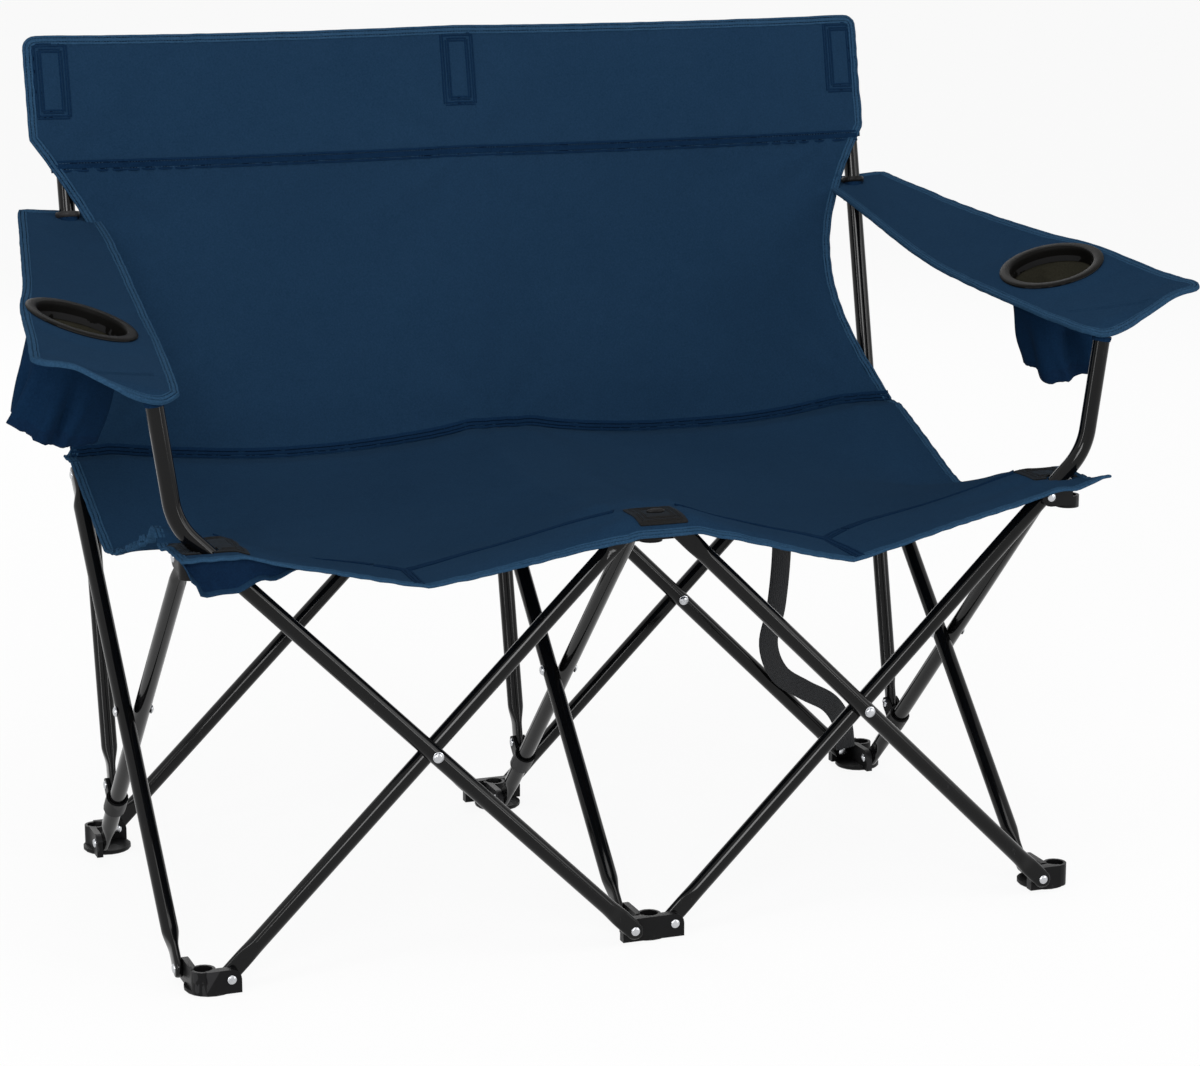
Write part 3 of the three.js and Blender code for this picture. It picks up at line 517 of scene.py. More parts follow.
def addPiece(bm, name, materials, sharp=32):
    mesh = bpy.data.meshes.new(name)
    bm.to_mesh(mesh)
    bm.free()
    for face in mesh.polygons:
        face.use_smooth = True
    mesh.set_sharp_from_angle(angle=math.radians(sharp))
    for material in materials:
        mesh.materials.append(material)
    piece = bpy.data.objects.new(name, mesh)
    bpy.context.scene.collection.objects.link(piece)
    return piece


def settle(piece, body, slot, replaces=(), squash=None):
    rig.slot(piece, slot)
    if replaces:
        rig.replaces(piece, *replaces)
    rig.ride(piece, body)
    if squash:
        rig.squash(piece, "frame_fold", **squash)
    return piece


# carry strap
strap = {
    "width": 0.025, "thickness": 0.0018, "inset": 0.015, "steps": 72,
    "route": [(0.115, 0.422), (0.117, 0.350), (0.115, 0.283), (0.121, 0.215), (0.131, 0.167),
              (0.116, 0.128), (0.082, 0.104), (0.048, 0.084), (0.030, 0.056), (0.025, 0.024)],
}


def hung(share):
    return 4 * share * (1 - share)


# the seat's own form: flat on the hubs, a trough between the columns, its free edges drawn to
# a blunt point where they dip
seat = {
    "side": columnPitch + 0.025, "frontReach": 0.054, "rearInset": 0.010, "edgeSag": 0.048,
    "rearSag": 0.018, "columnSag": 0.016, "sideSag": 0.068, "sidePeak": 0.60, "bowlSag": 0.014,
    "flatHalf": 0.036, "thickness": 0.0018, "step": 0.0075, "leftPeak": 0.54, "leftDip": 0.047,
    "rightPeak": 0.42, "rightDip": 0.056, "frontDepth": 0.17, "lap": 0.014, "lapFrom": -0.014,
    "tipRise": 0.012,
}


def between(x):
    return clamp((abs(x) - seat["flatHalf"]) / (columnPitch - 2 * seat["flatHalf"]))


def depthShare(y):
    return clamp((y - deckEnd) / (rowPitch - 2 * deckEnd))


def tent(share, peak):
    rising = share / peak if share < peak else (1 - share) / (1 - peak)
    return rising - 0.05 * max(0.0, 1 - abs(share - peak) / 0.15) ** 2


def seatForm(x, y):
    share, deep = between(x), depthShare(y)
    trough, middle = hung(share), hung(deep)
    ridge = seat["columnSag"] * middle if abs(x) < columnPitch / 2 else (
        seat["sideSag"] * lerp(middle, tent(deep, seat["sidePeak"]), smooth(
            (abs(x) - columnPitch / 2) / (columnPitch / 2))))
    drop = trough * (lerp(seat["edgeSag"], seat["rearSag"], deep) + seat["bowlSag"] * middle)
    drop += (1 - trough) * ridge
    peak, dip = ("leftPeak", "leftDip") if x < 0 else ("rightPeak", "rightDip")
    near = 1 - smooth((y + seat["frontReach"]) / seat["frontDepth"])
    drop = lerp(drop, tent(share, seat[peak]) * seat[dip], near)
    over = clamp((seat["lapFrom"] - y) / (seat["frontReach"] + seat["lapFrom"]))
    drop += seat["lap"] * (1 - smooth(abs(x) / 0.30)) * over ** 2
    drop -= seat["tipRise"] * smooth((x - 0.462) / 0.045) * over
    return Vector((x, y, clothTop - drop))


# a smooth line through points, sampled evenly
def smoothRoute(points, count):
    padded = [2 * points[0] - points[1], *points, 2 * points[-1] - points[-2]]
    dense = []
    for a, b, c, d in zip(padded, padded[1:], padded[2:], padded[3:]):
        for step in range(24):
            t = step / 24
            dense.append(0.5 * (2 * b + (c - a) * t + (2 * a - 5 * b + 4 * c - d) * t * t
                                + (3 * b - a - 3 * c + d) * t ** 3))
    dense.append(points[-1])
    lengths = [0.0]
    for a, b in zip(dense, dense[1:]):
        lengths.append(lengths[-1] + (b - a).length)
    found, number = [], 0
    for step in range(count + 1):
        target = lengths[-1] * step / count
        while number < len(dense) - 2 and lengths[number + 1] < target:
            number += 1
        part = lengths[number + 1] - lengths[number]
        share = clamp((target - lengths[number]) / max(part, 1e-9))
        found.append(dense[number].lerp(dense[number + 1], share))
    return found, lengths[-1]


# gives every face a place on the cut, from a function of its corners' places
def mapCut(bm, place):
    cut = bm.loops.layers.uv.get("cut") or bm.loops.layers.uv.new("cut")
    for face in bm.faces:
        for loop in face.loops:
            loop[cut].uv = place(loop.vert.co)
    return cut


def makeStrap():
    y = rowPitch - strap["inset"]
    topX = columnPitch - strap["route"][0][0]
    top = min(seatForm(topX - strap["width"] / 2, y).z, seatForm(topX + strap["width"] / 2, y).z)
    points = [at(topX, y, top - chair["clothThickness"] - chair["gap"])]
    points += [at(columnPitch - x, y, z) for x, z in strap["route"][1:]]
    route, length = smoothRoute(points, strap["steps"])
    rings, travelled = [], []
    for number, place in enumerate(route):
        ahead = route[min(number + 1, len(route) - 1)] - route[max(number - 1, 0)]
        across = Vector((0, 1, 0)).cross(ahead.normalized()) * (strap["width"] / 2)
        curl = 0.0012 * math.sin(number / 7.0)
        half = Vector((0, strap["thickness"] / 2, 0))
        ring = []
        for u, v in ((1, -0.4), (1, 0.4), (0.94, 1), (0.5, 1), (0, 1), (-0.5, 1), (-0.94, 1),
                     (-1, 0.4), (-1, -0.4), (-0.94, -1), (-0.5, -1), (0, -1), (0.5, -1),
                     (0.94, -1)):
            bowed = Vector((0, curl * (1 - u * u), 0))
            ring.append(place + across * u + half * v + bowed)
        rings.append(ring)
        travelled.append(place)
    bm = bmesh.new()
    part = sweep(rings)
    tree = kdtree.KDTree(len(travelled))
    for number, place in enumerate(travelled):
        tree.insert(place, number)
    tree.balance()

    def place(co):
        near, number, distance = tree.find(co)
        ahead = (route[min(number + 1, len(route) - 1)] - route[max(number - 1, 0)]).normalized()
        across = Vector((0, 1, 0)).cross(ahead)
        return ((co - near).dot(across), number * length / strap["steps"])
    merge(bm, part)
    mapCut(bm, place)
    piece = addPiece(bm, "strap_webbing", [webbing], 50)
    settle(piece, "foot_rear_right", "webbing", ["carry_strap"],
           {"axis": (1, 0, 0), "anchor": tuple(at(columnPitch, y, 0)), "keep": 0.2})
    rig.cord(piece, exit=tuple(route[0]), length=round(length, 3), diameter=strap["width"],
            far_end="object", stiffness="limp", lay="hanging",
            path=[tuple(p) for p in route[::2]])
    print("strap", round(length, 3))


makeStrap()


# tubes
tube = {
    "sides": 28, "tipRadius": 0.010, "flat": 0.020, "taper": 0.024, "taperSteps": 7,
    "tipAngles": (76, 62, 46, 30, 14, 0), "headRadius": 0.0050, "headHeight": 0.0020,
}
arm = {"run": 0.041, "bendRadius": 0.070, "bendSteps": 14, "lean": math.radians(8),
       "post": 0.104}


def tipRings(z, way):
    rings = []
    for degrees in tube["tipAngles"]:
        angle = math.radians(degrees)
        thick = chair["tipHalf"] * (0.78 if degrees > 70 else 1)
        rings.append((0, z + way * tube["tipRadius"] * math.sin(angle), 0,
                      tube["tipRadius"] * math.cos(angle), thick))
    for step in range(tube["taperSteps"] + 1):
        share = step / tube["taperSteps"]
        rings.append((0, z - way * (tube["flat"] + tube["taper"] * share), 0,
                      lerp(tube["tipRadius"], chair["tubeRadius"], smooth(share)),
                      lerp(chair["tipHalf"], chair["tubeRadius"], smooth(share))))
    return rings if way < 0 else rings[::-1]


def tubeRing(x, z, turn, wide, thick):
    places = []
    for side in range(tube["sides"]):
        angle = (side + 0.5) * 2 * math.pi / tube["sides"]
        u = math.cos(angle) * min(wide, thick)
        if wide > thick:
            u += math.copysign(wide - thick, math.cos(angle))
        places.append(Vector((x + u * math.cos(turn), math.sin(angle) * thick,
                              z - u * math.sin(turn))))
    return places


def straightLeg():
    return tipRings(0, -1) + tipRings(chair["legLength"], 1)


def armLeg():
    radius = chair["tubeRadius"]
    start = chair["legLength"] + arm["run"]
    rings = tipRings(0, -1) + [(0, start, 0, radius, radius)]
    bend = chair["openAngle"] - arm["lean"]
    for step in range(1, arm["bendSteps"] + 1):
        turn = step * bend / arm["bendSteps"]
        rings.append((-arm["bendRadius"] * (1 - math.cos(turn)),
                      start + arm["bendRadius"] * math.sin(turn), -turn, radius, radius))
    x, z = rings[-1][:2]
    rings.append((x - arm["post"] * math.sin(bend), z + arm["post"] * math.cos(bend), -bend,
                  radius, radius))
    return rings


def rivetHead(bm, place, direction, radius, height, material=0):
    profile = [(0, -0.0004), (radius, -0.0004), (radius, height * 0.2), (radius * 0.93, height * 0.5),
               (radius * 0.75, height * 0.8), (radius * 0.45, height * 0.97), (0, height)]
    merge(bm, turned(profile, 20), pointing(place, direction), material)


# the tube of one leg and the heads of the rivets through its tips; each rivet is its height along
# the leg, the tube's half thickness there and how thick the cheek is on the side way
def makeLeg(node, matrix, rings, way, rivets, finish, slot):
    bm = bmesh.new()
    merge(bm, sweep([tubeRing(*ring) for ring in rings]), matrix)
    piece = addPiece(bm, node + "_tube", [finish], 40)
    settle(piece, node, slot, [node])
    heads = bmesh.new()
    for z, half, thickness in rivets:
        near = Vector((0, -way * half, z))
        far = Vector((0, way * (half + 2 * chair["gap"] + thickness), z))
        rivetHead(heads, near, Vector((0, -way, 0)), tube["headRadius"], tube["headHeight"])
        rivetHead(heads, far, Vector((0, way, 0)), tube["headRadius"], tube["headHeight"])
    bmesh.ops.transform(heads, matrix=matrix, verts=heads.verts)
    settle(addPiece(heads, node + "_rivets", [steel], 45), node, "steel")


cheek = chair["layer"] - 2 * (chair["tipHalf"] + chair["gap"])
sideCheek = 0.007
armCheek = 0.0054
tip = chair["tipHalf"]
length = chair["legLength"]
plainRivets = [(0, tip, cheek), (length, tip, cheek)]
sideRivets = [(0, tip, sideCheek), (length, tip, sideCheek)]
armRivets = [(0, tip, cheek), (length, chair["tubeRadius"], armCheek)]


def rowMatrix(x, y, lean):
    return Matrix.Translation(at(x, y, chair["footPivot"])) @ Matrix.Rotation(
        lean * chair["openAngle"], 4, "Y")


def sideMatrix(x, y, lean):
    return (Matrix.Translation(at(x, y, chair["footPivot"]))
            @ Matrix.Rotation(-math.pi / 2, 4, "Z")
            @ Matrix.Rotation(lean * chair["openAngle"], 4, "Y"))


outerX = columnPitch - chair["insetX"]
rowLegs = [
    ("front_leg_left", -outerX, 0, 1, -1),
    ("front_leg_right", outerX, -chair["layer"], -1, 1),
    ("rear_leg_left_outer", -outerX, rowPitch + chair["layer"], 1, -1),
    ("rear_leg_left_inner", -chair["insetX"], rowPitch, -1, 1),
    ("rear_leg_right_outer", chair["insetX"], rowPitch + chair["layer"], 1, -1),
    ("rear_leg_right_inner", outerX, rowPitch, -1, 1),
]
for node, x, y, lean, way in rowLegs:
    makeLeg(node, rowMatrix(x, y, lean), straightLeg(), way, plainRivets, paint["row"],
            "black_tube")
for side, sign in sides.items():
    x = sign * columnPitch
    makeLeg(f"side_leg_{side}_front", sideMatrix(x - chair["layer"], chair["insetY"], -1),
            straightLeg(), 1, sideRivets, paint["column"], "grey_tube")
    makeLeg(f"side_leg_{side}_rear", sideMatrix(x, rowPitch - chair["insetY"], 1),
            straightLeg(), -1, sideRivets, paint["column"], "grey_tube")
makeLeg("arm_leg_right", rowMatrix(chair["insetX"], 0, 1), armLeg(), -1, armRivets,
        paint["row"], "black_tube")
makeLeg("arm_leg_left", rowMatrix(-chair["insetX"], -chair["layer"], -1)
        @ Matrix.Rotation(math.pi, 4, "Z"), armLeg(), -1, armRivets, paint["row"], "black_tube")
print("legs made")


# rivets where two legs cross
cross = {"headRadius": 0.0050, "headHeight": 0.0024, "washer": 0.0058, "washerHeight": 0.0007}


def makeCrossRivet(node, place, direction, body):
    reach = chair["layer"] / 2 + chair["tubeRadius"] + chair["gap"]
    bm = bmesh.new()
    for way in (-1, 1):
        outward = direction * way
        washer = [(0.003, 0), (cross["washer"] * 0.94, 0), (cross["washer"], 0.0002),
                  (cross["washer"], cross["washerHeight"] - 0.0002),
                  (cross["washer"] * 0.94, cross["washerHeight"]),
                  (0.003, cross["washerHeight"]), (0.003, 0)]
        merge(bm, turned(washer, 24), pointing(place + outward * (reach - 0.0003), outward))
        rivetHead(bm, place + outward * (reach + 0.0004), outward, cross["headRadius"],
                  cross["headHeight"])
    settle(addPiece(bm, node + "_heads", [steel], 45), body, "steel", [node])


crossLevel = chair["footPivot"] + rise / 2
rowCrossings = [
    ("front_left", -0.5, -chair["layer"] / 2, "arm_leg_left"),
    ("front_right", 0.5, -chair["layer"] / 2, "arm_leg_right"),
    ("rear_left", -0.5, rowPitch + chair["layer"] / 2, "rear_leg_left_inner"),
    ("rear_right", 0.5, rowPitch + chair["layer"] / 2, "rear_leg_right_inner"),
]
for place, share, y, body in rowCrossings:
    makeCrossRivet(f"cross_rivet_{place}", at(share * columnPitch, y, crossLevel),
                   Vector((0, 1, 0)), body)
for side, sign in sides.items():
    makeCrossRivet(f"cross_rivet_side_{side}",
                   at(sign * columnPitch - chair["layer"] / 2, rowPitch / 2, crossLevel),
                   Vector((1, 0, 0)), f"side_leg_{side}_front")
print("crossing rivets made")


# back posts
post = {"length": 0.828, "clip": 0.095, "clipOffset": 0.0231, "inset": 0.014, "cap": 0.003}
clipY = (rowPitch - chair["insetY"] - post["clip"] * math.sin(chair["openAngle"])
         + post["clipOffset"] * math.cos(chair["openAngle"]))
clipZ = (chair["footPivot"] + post["clip"] * math.cos(chair["openAngle"])
         + post["clipOffset"] * math.sin(chair["openAngle"]))
postLean = math.atan2(rowPitch - post["inset"] - clipY, hubPivot - clipZ)


def postPoint(x, s):
    return Vector((x, clipY + s * math.sin(postLean), clipZ + s * math.cos(postLean)))


def makePosts():
    rings = tipRings(0, -1) + [(0, post["length"], 0, chair["tubeRadius"], chair["tubeRadius"])]
    face = chair["tipHalf"] + 2 * chair["gap"] + 0.0035
    for side, sign in sides.items():
        matrix = (Matrix.Translation(postPoint(sign * columnPitch, 0) + origin)
                  @ Matrix.Rotation(-math.pi / 2, 4, "Z") @ Matrix.Rotation(-postLean, 4, "Y"))
        bm = bmesh.new()
        merge(bm, sweep([tubeRing(*ring) for ring in rings]), matrix)
        node = f"back_post_{side}"
        settle(addPiece(bm, node + "_tube", [paint["column"]], 40), node, "grey_tube", [node])
        heads = bmesh.new()
        for way in (-1, 1):
            rivetHead(heads, Vector((0, way * face, 0)), Vector((0, way, 0)), 0.0046, 0.0018)
        bmesh.ops.transform(heads, matrix=matrix, verts=heads.verts)
        settle(addPiece(heads, node + "_rivet", [steel], 45), node, "steel")


makePosts()
print("posts made")


# moulded pieces: the solids' own shapes, with their corners eased
def easeNode(node, name, body, material, slot, width, sharp=35):
    bm = bmesh.new()
    bm.from_mesh(frame["nodes"][node].data)
    bmesh.ops.remove_doubles(bm, verts=bm.verts, dist=2e-6)
    bmesh.ops.dissolve_limit(bm, angle_limit=math.radians(1.5), verts=bm.verts, edges=bm.edges)
    piece = addPiece(bm, name, [material], sharp)
    bevel = piece.modifiers.new("eased", "BEVEL")
    bevel.width = width
    bevel.segments = 2
    bevel.limit_method = "ANGLE"
    bevel.angle_limit = math.radians(sharp)
    bevel.harden_normals = False
    return settle(piece, body, slot, [node])


for row in ("front", "rear"):
    for side in sides:
        for kind in ("foot", "hub"):
            node = f"{kind}_{row}_{side}"
            easeNode(node, node + "_moulding", node, plastic, "black_plastic", 0.0007)
for side in sides:
    easeNode(f"post_clip_{side}", f"post_clip_{side}_moulding", f"side_leg_{side}_rear", plastic,
             "black_plastic", 0.0005)
    easeNode(f"post_cap_{side}", f"post_cap_{side}_plug", f"back_post_{side}", plastic,
             "black_plastic", 0.0004)
for side in ("left", "right"):
    easeNode(f"arm_cap_{side}", f"arm_cap_{side}_plug", f"arm_leg_{side}", plastic,
             "black_plastic", 0.0004)
print("mouldings eased")


# cloth
# a sorted row of stations through the marks, no further apart than step
def stations(marks, step):
    marks = sorted(marks)
    found = []
    for low, high in zip(marks, marks[1:]):
        count = max(1, math.ceil((high - low) / step - 1e-6))
        found += [lerp(low, high, number / count) for number in range(count)]
    return found + [marks[-1]]


# a grid of cloth over its stations; place gives each crossing its point
def clothGrid(acrossAt, alongAt, place):
    bm = bmesh.new()
    columns, rows = len(acrossAt), len(alongAt)
    bmesh.ops.create_grid(bm, x_segments=columns - 1, y_segments=rows - 1, size=0.5)
    cut = bm.loops.layers.uv.new("cut")
    flat = bm.verts.layers.float_vector.new("flat")
    for vert in bm.verts:
        u = acrossAt[round((vert.co.x + 0.5) * (columns - 1))]
        v = alongAt[round((vert.co.y + 0.5) * (rows - 1))]
        vert[flat] = (u, v, 0)
        vert.co = place(u, v)
    for face in bm.faces:
        for loop in face.loops:
            loop[cut].uv = loop.vert[flat].xy
    bm.normal_update()
    return bm


# one piece of a grid, shaded as part of the whole: the faces that keep asks for, given a thickness
def clothPiece(grid, name, keep, thickness, materials):
    tree = kdtree.KDTree(len(grid.verts))
    normals = [vert.normal.copy() for vert in grid.verts]
    for number, vert in enumerate(grid.verts):
        tree.insert(vert.co, number)
    tree.balance()
    bm = grid.copy()
    flat = bm.verts.layers.float_vector["flat"]
    spare = []
    for face in bm.faces:
        middle = sum((vert[flat] for vert in face.verts), Vector()) / len(face.verts)
        if not keep(middle.x, middle.y):
            spare.append(face)
    bmesh.ops.delete(bm, geom=spare, context="FACES")
    bm.normal_update()
    area = sum(face.calc_area() for face in bm.faces)
    order = bm.verts.layers.int.new("order")
    under = []
    for number, vert in enumerate(bm.verts):
        vert[order] = number
        under.append(vert.co - vert.normal * thickness)
    above = set(bm.verts)
    bmesh.ops.solidify(bm, geom=list(bm.faces), thickness=thickness)
    for vert in bm.verts:
        if vert not in above:
            vert.co = under[vert[order]]
    bm.verts.layers.int.remove(order)
    bmesh.ops.recalc_face_normals(bm, faces=bm.faces)
    piece = addPiece(bm, name, materials, 50)
    mesh = piece.data
    shading = []
    for face in mesh.polygons:
        for number in face.loop_indices:
            near = tree.find(mesh.vertices[mesh.loops[number].vertex_index].co)[1]
            normal = normals[near]
            facing = face.normal.dot(normal)
            if abs(facing) < 0.35:
                normal = face.normal.copy()
            elif facing < 0:
                normal = -normal
            shading.append(normal)
    mesh.normals_split_custom_set(shading)
    return piece, area


def declareSheet(piece, width, depth, area, rests):
    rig.sheet(piece, flat=(round(width, 3), round(depth, 3)), area=round(area, 4),
             held="stretched", rests_on=rests)


# places and normals along a path of (u, v) corners on a surface; the normals are taken a little
# towards the middle, so that they hold on a rim too
def followed(place, path, middle, spacing=0.005):
    line = []
    small = 0.0006
    for (u0, v0), (u1, v1) in zip(path, path[1:]):
        count = max(1, math.ceil(math.hypot(u1 - u0, v1 - v0) / spacing))
        for step in range(count + (path[-1] == (u1, v1))):
            u, v = lerp(u0, u1, step / count), lerp(v0, v1, step / count)
            a, b = lerp(u, middle[0], 0.012), lerp(v, middle[1], 0.012)
            across = place(a + small, b) - place(a - small, b)
            along = place(a, b + small) - place(a, b - small)
            line.append((place(u, v), across.cross(along).normalized(), (u, v)))
    return line


# the runs of a line whose places keep asks for
def runsOf(line, keep):
    runs = [[]]
    for entry in line:
        if keep(*entry[2]):
            runs[-1].append(entry)
        elif runs[-1]:
            runs.append([])
    return [run for run in runs if len(run) > 2]


# the outline across a sewn edge: a folded hem that wraps the cloth's rim, its two rows of
# stitching sunk; heights are from the middle of the cloth
hem = {"width": 0.0092, "half": 0.0016, "cloth": 0.0009, "over": 0.0007, "rows": (0.0066, 0.0022),
       "groove": 0.0007, "sunk": 0.0007}


def grooved(start, end, rows, level):
    outline, dark = [(start - 0.0004, level * 0.4), (start, level)], []
    for row in rows:
        dark.append(len(outline) + 1)
        outline += [(row - hem["groove"], level), (row - hem["groove"] / 2, level - hem["sunk"]),
                    (row + hem["groove"] / 2, level - hem["sunk"]), (row + hem["groove"], level)]
    return outline + [(end, level)], dark


def hemSection():
    half = hem["half"]
    top, dark = grooved(-hem["width"], -0.0004, [-row for row in hem["rows"]], half)
    rim = [(hem["over"], half * 0.45), (hem["over"], -half * 0.45), (-0.0004, -half),
           (-hem["width"], -half), (-hem["width"] - 0.0004, -half * 0.4)]
    return top + rim, dark


def seamSection(width, height, rows):
    top, dark = grooved(-width / 2, width / 2, rows, height)
    return top + [(width / 2 + 0.0004, 0), (width / 2, -0.0005), (-width / 2, -0.0005)], dark


# a sewn edge or seam along lines; side says which way is outward
def ribbon(bm, lines, section, side=1, lift=0.0, wave=0.0004):
    outline, dark = section
    for line in lines:
        rings = []
        for number, (place, normal, _) in enumerate(line):
            ahead = line[min(number + 1, len(line) - 1)][0] - line[max(number - 1, 0)][0]
            outward = ahead.cross(normal).normalized() * side
            bob = wave * noise.noise(place * 110)
            drift = 0.7 * wave * noise.noise(place * 75 + Vector((5, 0, 0)))
            rings.append([place + outward * (u + drift) + normal * (w + lift + bob)
                          for u, w in outline])
        part = sweep(rings, True, dark)
        bmesh.ops.recalc_face_normals(part, faces=part.faces)
        merge(bm, part, None, None)


# stitches lying in a row beside a line, each a short round of thread
def stitches(bm, lines, offset, lift, side=1, pitch=0.0034, length=0.0024, radius=0.0003):
    for line in lines:
        travelled = 0.0
        for (place, normal, _), (following, _, _) in zip(line, line[1:]):
            step = following - place
            if step.length < 1e-6:
                continue
            ahead = step.normalized()
            beside = ahead.cross(normal).normalized()
            while travelled <= step.length:
                middle = place + ahead * travelled + beside * offset * side + normal * lift
                turn = Matrix((ahead, normal.cross(ahead), normal)).transposed().to_4x4()
                size = Matrix.Diagonal((length / 2, radius, radius * 0.8, 1))
                bmesh.ops.create_icosphere(bm, subdivisions=1, radius=1,
                                           matrix=Matrix.Translation(middle) @ turn @ size)
                travelled += pitch
            travelled -= step.length


def sewnPiece(bm, name, materials):
    mapCut(bm, lambda co: (co.x + 0.3 * co.y, co.z + 0.7 * co.y))
    return addPiece(bm, name, materials, 55)


# the hem of a cloth's rim and the thread in it
def makeHem(name, lines, like, side=1):
    lift = -hem["cloth"]
    band = bmesh.new()
    ribbon(band, lines, hemSection(), side, lift)
    like(sewnPiece(band, name + "_hem", [hemPaintedHighlight, darkThread]))
    sewn = bmesh.new()
    for row in hem["rows"]:
        stitches(sewn, lines, -row, lift + hem["half"] - hem["sunk"], side)
    like(sewnPiece(sewn, name + "_thread", [thread]))


# seat
def crease(x, y, cx, cy, count, reach, depth, turn=0.0):
    away = math.hypot(x - cx, y - cy)
    if away < 1e-6 or away > reach:
        return 0.0
    angle = math.atan2(y - cy, x - cx) + turn
    fade = smooth(away / 0.06) * (1 - smooth(away / reach))
    return depth * fade * math.sin(angle * count)


# where the arms' tubes come up through the seat, as middles and half sizes
tubeRise = (clothTop - hubPivot) * math.tan(chair["openAngle"])
armHoles = ((-outerX - tubeRise, -chair["layer"]), (outerX + tubeRise, 0.0))
armHoleHalf = (0.0150, 0.0112)


def inArmHole(x, y):
    return any(((x - cx) / armHoleHalf[0]) ** 2 + ((y - cy) / armHoleHalf[1]) ** 2 < 1
               for cx, cy in armHoles)


def seatPoint(x, y):
    place = seatForm(x, y)
    lift = 0.0
    for side in (-1, 0, 1):
        lift += crease(x, y, side * columnPitch, 0.0, 9, 0.30, 0.0011, side)
        lift += crease(x, y, side * columnPitch, rowPitch, 9, 0.24, 0.0010, side + 0.6)
    lift += 0.0012 * noise.noise(Vector((x * 6, y * 6, 3.1)))
    lift += 0.0005 * noise.noise(Vector((x * 24, y * 24, 1.7)))
    sideEdge = seat["side"] - abs(x)
    frontEdge = y + seat["frontReach"]
    loose = hung(clamp(depthShare(y) / seat["sidePeak"]))
    zigzag = 0.0034 * loose * math.sin(y * 480 + 2.5 * math.sin(y * 90))
    zigzag += 0.0016 * loose * noise.noise(Vector((x * 3, y * 60, 8.2)))
    pucker = (0.0005 * math.sin(y * 330 + 2 * math.sin(y * 41)) + zigzag) * (
        1 - smooth(sideEdge / 0.022))
    if x < 0:
        fold = 0.013 * math.exp(-((y - 0.070) / 0.017) ** 2)
        fold -= 0.006 * math.exp(-((y - 0.036) / 0.015) ** 2)
        fold += 0.007 * math.exp(-((y - 0.118) / 0.016) ** 2)
        pucker += fold * (1 - smooth(sideEdge / 0.055))
    pucker += 0.0003 * math.sin(x * 260 + 3 * math.sin(x * 37)) * (1 - smooth(frontEdge / 0.03))
    held = 1 - smooth((abs(abs(x) - columnPitch) - 0.03) / 0.02) if y < deckEnd else 0.0
    sewn = 1 - smooth((abs(x) - 0.027) / 0.012) if y < deckEnd else 0.0
    return origin + place + Vector((0, 0, lift * (1 - 0.85 * held) * (1 - sewn)
                                    + pucker * (1 - sewn)))


def seatMotion(part):
    across = {"axis": (1, 0, 0), "anchor": tuple(at(0, 0, 0)), "keep": foldedShare}
    left = {"axis": (1, 0, 0), "anchor": tuple(at(-0.0347, 0, 0)), "keep": 0.106}
    right = {"axis": (1, 0, 0), "anchor": tuple(at(0.0134, 0, 0)), "keep": 0.104}
    return {
        "front_edge": ("hub_front_center", across),
        "rear_edge": ("hub_rear_center", across),
        "front_left": ("seat_front", left), "front_right": ("seat_front", right),
        "rear_left": ("seat_rear", left), "rear_right": ("seat_rear", right),
    }[part]


# the panel seam that runs behind the front edge, from patch to patch and back to each dip
def panelSeam():
    lines = []
    for way, peak in ((-1, seat["leftPeak"]), (1, seat["rightPeak"])):
        inner = seat["flatHalf"]
        reach = columnPitch - 2 * inner
        corner = inner + reach * peak
        for start, end, deep in ((inner, corner, 0.030), (corner, inner + reach, 0.045)):
            path = []
            for step in range(13):
                share = step / 12
                path.append((way * lerp(start, end, share), lerp(
                    0.012 if start == inner else 0.022, 0.022 if end == corner else 0.050,
                    share) + deep * hung(share)))
            lines.append(followed(seatPoint, path, (way * corner, 0.2)))
        path = [(way * corner, 0.022), (way * (corner + 0.008), -seat["frontReach"] + 0.004)]
        lines.append(followed(seatPoint, path, (way * corner, 0.2)))
    return lines


